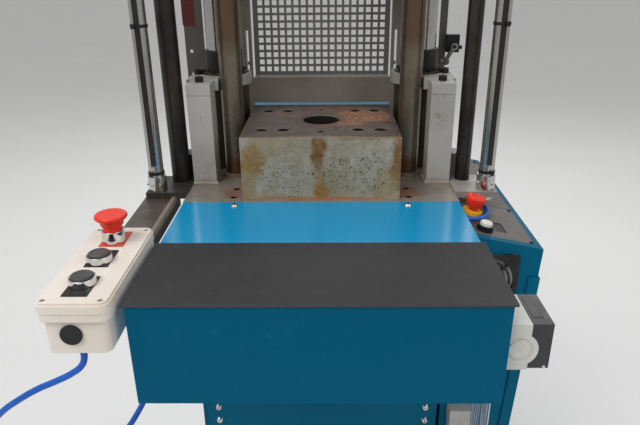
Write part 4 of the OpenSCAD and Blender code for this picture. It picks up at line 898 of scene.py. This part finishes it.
# Hand control box
# A two-part box of off-white moulded plastic on a dark steel channel with a greasy round bar along
# it. Its lid has four screws, two push buttons, a red mushroom and black legend plates.
arm_steel = on = coat(
    "oiled arm steel", "black_paint", (84, 76, 70), (52, 46, 42), wear=(8, 0.7), grain=(380, 40),
    rough=(0.36, 0.56), metal=0.3)
dressed("control_arm", arm_steel, 1.0)
bar_steel = on = coat(
    "greasy bar steel", "rusty_steel", (142, 128, 114), (100, 84, 72), wear=(12, 0.7), grain=(420, 40),
    rough=(0.36, 0.56), metal=0.3)
bar_start = start_round("bar", (0, 0, 0), 5, 148, 40)
arm_bar = together("arm_bar", again(bar_start, moved(-232, -171, 991, 90, "X")))
fixed(broken(arm_bar, 0.8), bar_steel)
cream = on = coat(
    "off-white moulded plastic", "cream_plastic", (230, 221, 211), (216, 204, 190), wear=(12, 0.5),
    grain=(900, 30), dust=0.04, rough=(0.2, 0.34))
soot = ramp(on, noise(on, 34.0, 7.0, 0.72), 0.6, 0.74)
paint(on, soot, (168, 158, 142), 0.25)
dressed("control_box_base", cream, 1.2, 3)
dressed("control_box_lid", cream, 1.0, 3)


def cross_screw(radius, height):
    """A domed screw head, standing at the origin, with a cross cut in it."""
    screw = start_round("cross_screw", (0, 0, height / 2), radius, height, 24)
    rounded(screw, radius * 0.22, 3, lambda at, way: at.z > height - 0.01)
    for low, high in (((-0.62, -0.13), (0.62, 0.13)), ((-0.13, -0.62), (0.13, 0.62))):
        cut(screw, start_block("slot", (low[0] * radius, low[1] * radius, height * 0.45),
                               (high[0] * radius, high[1] * radius, height * 2)))
    return screw


box_x, box_y = -258, -351.5
lid_corners = [
    moved(box_x + x * 30.5, box_y + y * 87.5, 1012.9, 20 * x) for x in (-1, 1) for y in (-1, 1)
]
screwed("lid_screws", cross_screw(2.9, 1.4), lid_corners, bright_zinc)

ring_chrome = on = coat(
    "bright ring chrome", "chrome", (214, 214, 214), (170, 168, 162), wear=(25, 0.3), grain=(900, 5),
    dust=0.03, rough=(0.07, 0.2), metal=1.0)
dressed("button_collars", ring_chrome, 0.7, 3)
plate_black = on = coat(
    "black legend plate", "black_plastic", (26, 26, 27), (44, 43, 42), wear=(30, 0.4), grain=(700, 20),
    rough=(0.3, 0.45))
red_from, red_full = -0.320, -0.318
paint(on, ramp(on, spot(on, 1), red_from, red_full), (206, 66, 54))
dressed("legend_plates", plate_black, 0.3)
cap_grey = on = coat(
    "dark grey button cap", "black_plastic", (66, 66, 68), (80, 78, 76), wear=(30, 0.5), grain=(800, 30),
    dust=0.15, rough=(0.42, 0.6))
dressed("start_button_front", cap_grey, 0.6, 3)
dressed("start_button_rear", cap_grey, 0.6, 3)
mushroom_red = on = coat(
    "mushroom red plastic", "red_plastic", (232, 56, 36), (214, 48, 34), wear=(26, 0.4), grain=(800, 20),
    dust=0.05, rough=(0.26, 0.42))
worn = ramp(on, noise(on, 90.0, 5.0, 0.7), 0.62, 0.72)
paint(on, worn, (232, 112, 92), 0.4)
dressed("stop_head", mushroom_red, 0.8, 3)
dressed("box_plugs", black_plastic, 0.5)

# Two-tone box at the right
# A small switch box screwed to the side of the top cover: a light grey body with a round lobe and a
# pressed ring, and a dark cover with a bare black strip and a white plug.
light_grey = on = coat(
    "light grey plastic", "grey_plastic", (208, 206, 198), (184, 180, 168), wear=(16, 0.5),
    grain=(850, 30), rough=(0.34, 0.5))
dressed("side_box_base", light_grey, 0.7, 3)
dark_cover = on = coat(
    "dark grey plastic cover", "black_plastic", (54, 56, 60), (70, 70, 72), wear=(18, 0.5),
    grain=(700, 50), dust=0.15, rough=(0.36, 0.5))
dressed("side_box_cover", dark_cover, 0.8, 3)
strip = broken(start_block("side_box_strip", (242, -398, 965.8), (254, -352, 966.5)), 0.3)
fixed(strip, plate_black)
plug = start_round("side_box_plug", (256.5, -411.9, 909.5), 1.7, 1.2, 20, (math.radians(90), 0, 0))
fixed(broken(plug, 0.3), light_grey)

# Console
# A folded teal cabinet whose right side leans in. A sloped panel of dark grey sheet, held by black
# screws, carries an emergency stop on a yellow base and a white round button on a black one.
def near_to(on, at, radius):
    """A mask that is 1 within a distance in millimetres of a place."""
    return calc(on, "LESS_THAN", vector(on, "DISTANCE", on.place, at, "Value"), radius / 1000)


dressed("console_cabinet", teal, 1.0)
panel_x, panel_z, panel_slope = 314.5, 960, 11.9
console_top = moved(panel_x, 0, panel_z, panel_slope, "Y")
dark_panel = on = coat(
    "dark grey panel sheet", "black_paint", (98, 93, 90), (84, 79, 76), wear=(7, 0.5), grain=(620, 20),
    rough=(0.34, 0.5))
scratched(on, (140, 136, 130), scale=8.0, amount=0.3, length=8.0)
from_top = vector(on, "SUBTRACT", on.place, console_top.translation)
height = vector(on, "DOT_PRODUCT", from_top, console_top.to_3x3() @ Vector((0, 0, 1)), "Value")
paint(on, calc(on, "LESS_THAN", height, -0.0004), (44, 44, 45))
paint(on, near_to(on, console_top @ mm(-84.3, -122, 2.5), 16.4), (232, 176, 40))
paint(on, near_to(on, console_top @ mm(-79, -183, 4), 13.2), (28, 28, 29))
for y in (-199, -82, 165):
    paint(on, near_to(on, console_top @ mm(-13, y, 0), 3.2), (24, 24, 25))
dressed("console_panel", dark_panel, 0.5)
dressed("console_stop", mushroom_red, 0.8, 3)
ivory_cap = on = coat(
    "ivory button cap", "white_plastic", (224, 220, 208), (196, 190, 176), wear=(40, 0.5), grain=(900, 20),
    rough=(0.26, 0.42))
dressed("console_button", ivory_cap, 0.6, 3)

filter_grey = on = coat(
    "filter mat", "grey_plastic", (196, 192, 184), (150, 144, 134), wear=(24, 0.7), grain=(900, 200),
    dust=0.0, rough=(0.8, 0.9))
filter_mat = start_round("filter_mat", (239, -212.9, 910), 37.6, 1.0, 48, (math.radians(90), 0, 0))
pick(filter_mat, "FACE", lambda at, way: way.y < -0.9)
bpy.ops.mesh.inset(thickness=0.003)
bpy.ops.mesh.inset(thickness=0.012)
bpy.ops.transform.translate(value=(0, -0.0004, 0))
fixed(filter_mat, filter_grey, sharp=20)
grille_black = on = coat(
    "black grille plastic", "black_plastic", (26, 26, 27), (60, 57, 53), wear=(30, 0.6), grain=(700, 40),
    dust=0.3, rough=(0.4, 0.6))
dressed("fan_grille", grille_black, 0.5)
dressed("fan_rotor", grille_black, 0.5)
dressed("console_door", teal, 0.8)
dressed("main_switch", mushroom_red, 0.8)

connector_grey = on = coat(
    "light grey connector", "grey_plastic", (176, 176, 170), (146, 144, 136), wear=(24, 0.6),
    grain=(700, 40), dust=0.15, rough=(0.36, 0.55))
seam_low, seam_high = 0.6595, 0.6645
above = calc(on, "GREATER_THAN", spot(on, 2), seam_low)
below = calc(on, "LESS_THAN", spot(on, 2), seam_high)
paint(on, calc(on, "MULTIPLY", above, below), (28, 28, 29))
dressed("console_connector", connector_grey, 0.8)

# Clear guard strip on the console
# A sheet of clear plastic over the front of the console, screwed flat to it. Its cut right edge is
# white, and dust and fine upright scratches dull it.
clear_sheet = on = coat(
    "scratched clear sheet", "grey_plastic", (74, 104, 124), (110, 130, 144), wear=(14, 0.6),
    grain=(500, 10), dust=0.0, rough=(0.16, 0.34))
upright = noise(on, 46.0, 4.0, 0.6, (9.0, 9.0, 0.1))
paint(on, ramp(on, upright, 0.46, 0.6), (154, 170, 182))
dark_bands = noise(on, 30.0, 2.0, 0.5, (6.0, 6.0, 0.05))
paint(on, ramp(on, dark_bands, 0.55, 0.62), (26, 60, 84), 0.7)
white_edge = 0.2655
paint(on, calc(on, "GREATER_THAN", spot(on, 0), white_edge), (236, 238, 240))
sheet = start_block("clear_guard_strip", (222, -217.2, 560), (267, -215.3, 752))
rounded(sheet, 4, 4, lambda at, way: abs(way.y) > 0.9)
fixed(broken(sheet, 0.3), clear_sheet)

# Levelling feet
# Four feet with a zinc plated stud and lock nut on a black rubber pad, screwed into the floor of
# the base cabinet.
foot_metal = on = coat(
    "zinc plated foot", "ground_steel", (176, 174, 166), (128, 122, 112), wear=(22, 0.6), grain=(700, 20),
    rough=(0.3, 0.5), metal=0.9)
pad_top = 0.0121
in_pad = calc(on, "LESS_THAN", spot(on, 2), pad_top)
paint(on, in_pad, (34, 34, 35))
lay(on, "Metallic", in_pad, 0.0)
lay(on, "Roughness", in_pad, 0.6)
dressed("levelling_feet", foot_metal, 0.8)

# Pump motor
# A finned electric motor under grey-blue enamel, on the lid of the oil tank inside the base. Only
# the open base door shows it.
motor_enamel = on = coat(
    "motor enamel", "grey_paint", (104, 112, 118), (76, 78, 78), wear=(9, 0.6), grain=(420, 60), dust=0.25,
    rough=(0.36, 0.6))
dressed("pump_motor", motor_enamel, 1.0)

# Upper platen
# A ground steel plate that the cylinders pull down the tie bars. Small socket screws hold the
# flanged bush round each bar.
ground_plate = on = coat(
    "ground platen steel", "ground_steel", (150, 148, 142), (116, 106, 92), wear=(8, 0.7), grain=(380, 30),
    dust=0.15, rough=(0.3, 0.5), metal=0.75)
emboss(on, noise(on, 40.0, 3.0, 0.6, (0.3, 14.0, 14.0)), 0.00002)
rusted(on, 20.0, 0.12, 0.5)
dressed("upper_platen", ground_plate, 1.5)
bush_places = [
    place for x in (-bar_x, bar_x) for place in ring(x, 0, 1550, radius=22.5, count=6)
]
screwed("bush_screws", socket_screw(2.8, 3.0, 16), bush_places, black_oxide, "platen")
dressed("carriage_rods", hard_chrome, 1.0)

# Injection unit
# A teal cast housing slides on two chromed rods and carries the nitrided barrel. Three banded
# heaters clamp round the barrel, and the dark drive head above turns and pushes the screw.
dressed("injection_housing", teal, 2.0, 3)
house_places = [moved(x, -78, z, 90, "X") for x in (-76, 76) for z in (1892, 1978)]
screwed("housing_screws", socket_screw(5.0, 4.5), house_places, black_oxide, "carriage")
barrel_steel = on = coat(
    "heat-tinted barrel steel", "ground_steel", (128, 124, 118), (92, 84, 76), wear=(16, 0.7),
    grain=(600, 20), dust=0.05, rough=(0.3, 0.5), metal=0.9)
drift = calc(on, "MULTIPLY_ADD", noise(on, 22.0, 4.0, 0.6), 0.08, spot(on, 2))
paint(on, ramp(on, drift, 1.70, 1.60), (120, 92, 56))
paint(on, ramp(on, drift, 1.60, 1.53), (70, 62, 84))
dressed("barrel", barrel_steel, 0.8)
heater_steel = on = coat(
    "heater band steel", "brass", (190, 176, 146), (142, 118, 82), wear=(20, 0.8), grain=(600, 20),
    dust=0.05, rough=(0.28, 0.5), metal=0.95)
paint(on, ramp(on, spot(on, 1), -0.056, -0.058), (196, 190, 176))
dressed("heater_bands", heater_steel, 0.8)
band_places = [
    moved(x, -68, z + up, 90, "X") for z in (1630, 1720, 1810) for x in (-8, 8) for up in (-12, 12)
]
screwed("heater_screws", cross_screw(2.2, 1.4), band_places, bright_zinc, "carriage")
drive_paint = on = coat(
    "dark drive paint", "black_paint", (72, 76, 80), (52, 52, 54), wear=(9, 0.6), grain=(420, 50),
    dust=0.2, rough=(0.34, 0.55))
dressed("drive_head", drive_paint, 1.5)
dressed("screw", hard_chrome, 0)

# Hopper
# A spun and rolled hopper of brushed stainless sheet with a beaded rim. A clear sight window is
# set in its front, and a teal lid with a black knob is hinged behind.
brushed_sheet = on = coat(
    "brushed hopper sheet", "ground_steel", (192, 192, 190), (160, 158, 152), wear=(7, 0.5),
    grain=(700, 6), dust=0.12, rough=(0.22, 0.38), metal=1.0)
round_lines = noise(on, 14.0, 3.0, 0.6, (0.4, 0.4, 26.0))
lay(on, "Roughness", ramp(on, round_lines, 0.4, 0.7, end=0.6), 0.44)
dressed("hopper", brushed_sheet, 0)
hopper_y, rim_r, rim_z = 130, 76.4, 2214
calm()
bpy.ops.mesh.primitive_circle_add(
    vertices=12, radius=0.0022, location=mm(0, hopper_y - rim_r, rim_z), rotation=(0, math.radians(90), 0))
rim = settled("hopper_rim")
mode("EDIT")
bpy.ops.mesh.select_all(action="SELECT")
bpy.ops.mesh.spin(steps=72, angle=math.radians(360), center=mm(0, hopper_y, rim_z), axis=(0, 0, 1))
fixed(closed(rim), brushed_sheet, "carriage")
window = start_block("hopper_window", (-17, 53.6, 2118), (17, 55.4, 2196))
pick(window, "EDGE", lambda at, way: abs(way.y) > 0.9)
bpy.ops.mesh.bevel(offset=0.006, segments=5)
for cut_x in (0, -0.012, -0.006, 0.006, 0.012):
    bpy.ops.mesh.select_all(action="SELECT")
    bpy.ops.mesh.bisect(plane_co=(cut_x, 0, 2.157), plane_no=(1, 0, 0))
calm()
hopper_radius = 0.075
for point in window.data.vertices:
    point.co.y += hopper_radius - math.sqrt(hopper_radius ** 2 - point.co.x ** 2)
smoked = on = coat(
    "smoked sight glass", "black_plastic", (38, 42, 46), (58, 58, 58), wear=(20, 0.5), grain=(500, 10),
    rough=(0.1, 0.3))
fixed(broken(closed(window), 0.4), smoked, "carriage")
lid_paint = on = coat(
    "lid powder coat", "teal_paint", (0, 98, 128), (0, 84, 112), wear=(4, 0.6), grain=(520, 30), dust=0.25,
    rough=(0.26, 0.42))
knob_foot = 2.2226
paint(on, calc(on, "GREATER_THAN", spot(on, 2), knob_foot), (30, 30, 31))
dressed("hopper_lid", lid_paint, 0.6)

# Studio
# The press stands on a plain pale floor under soft light from broad panels, with a white ground
# behind it.
calm()
bpy.ops.mesh.primitive_plane_add(size=80, location=(0, 0, 0))
floor = bpy.context.object
floor.name = "floor"
pale = Finish("pale floor", "floor")
dapple = tint(pale, noise(pale, 2.0, 3.0, 0.5), tone(232, 232, 231), tone(226, 226, 225))
pale.links.new(dapple, pale.shader.inputs["Base Color"])
pale.shader.inputs["Roughness"].default_value = 0.75
floor.data.materials.append(pale.skin)

world = bpy.data.worlds.new("white ground")
bpy.context.scene.world = world
world.use_nodes = True
tree = world.node_tree
for node in list(tree.nodes):
    tree.nodes.remove(node)
rays = put(tree, "LightPath").outputs
seen = calc(tree, "MAXIMUM", rays["Is Camera Ray"], rays["Is Transmission Ray"])
level = put(tree, "Mix", {0: seen, 2: 0.5, 3: 1.0}).outputs[0]
ground = put(tree, "Background", {"Color": (1, 1, 1, 1), "Strength": level})
tree.links.new(ground.outputs[0], put(tree, "OutputWorld").inputs["Surface"])


def panel_light(name, at, towards, size, watts):
    """A broad soft light panel that faces a place."""
    lamp = bpy.data.lights.new(name, "AREA")
    lamp.shape = "RECTANGLE"
    lamp.size, lamp.size_y = size
    lamp.energy = watts
    holder = shown(name, lamp)
    aim = (Vector(towards) - Vector(at)).to_track_quat("-Z", "Y").to_matrix().to_4x4()
    holder.matrix_world = Matrix.Translation(at) @ aim


panel_light("key panel", (-1.6, -1.7, 4.0), (0, -0.1, 1.1), (2.4, 2.4), 84)
panel_light("fill panel", (2.4, -1.6, 3.0), (0, -0.1, 1.0), (2.2, 2.2), 26)
panel_light("back panel", (0.3, 3.0, 3.4), (0, 0, 1.2), (3.0, 1.6), 55)
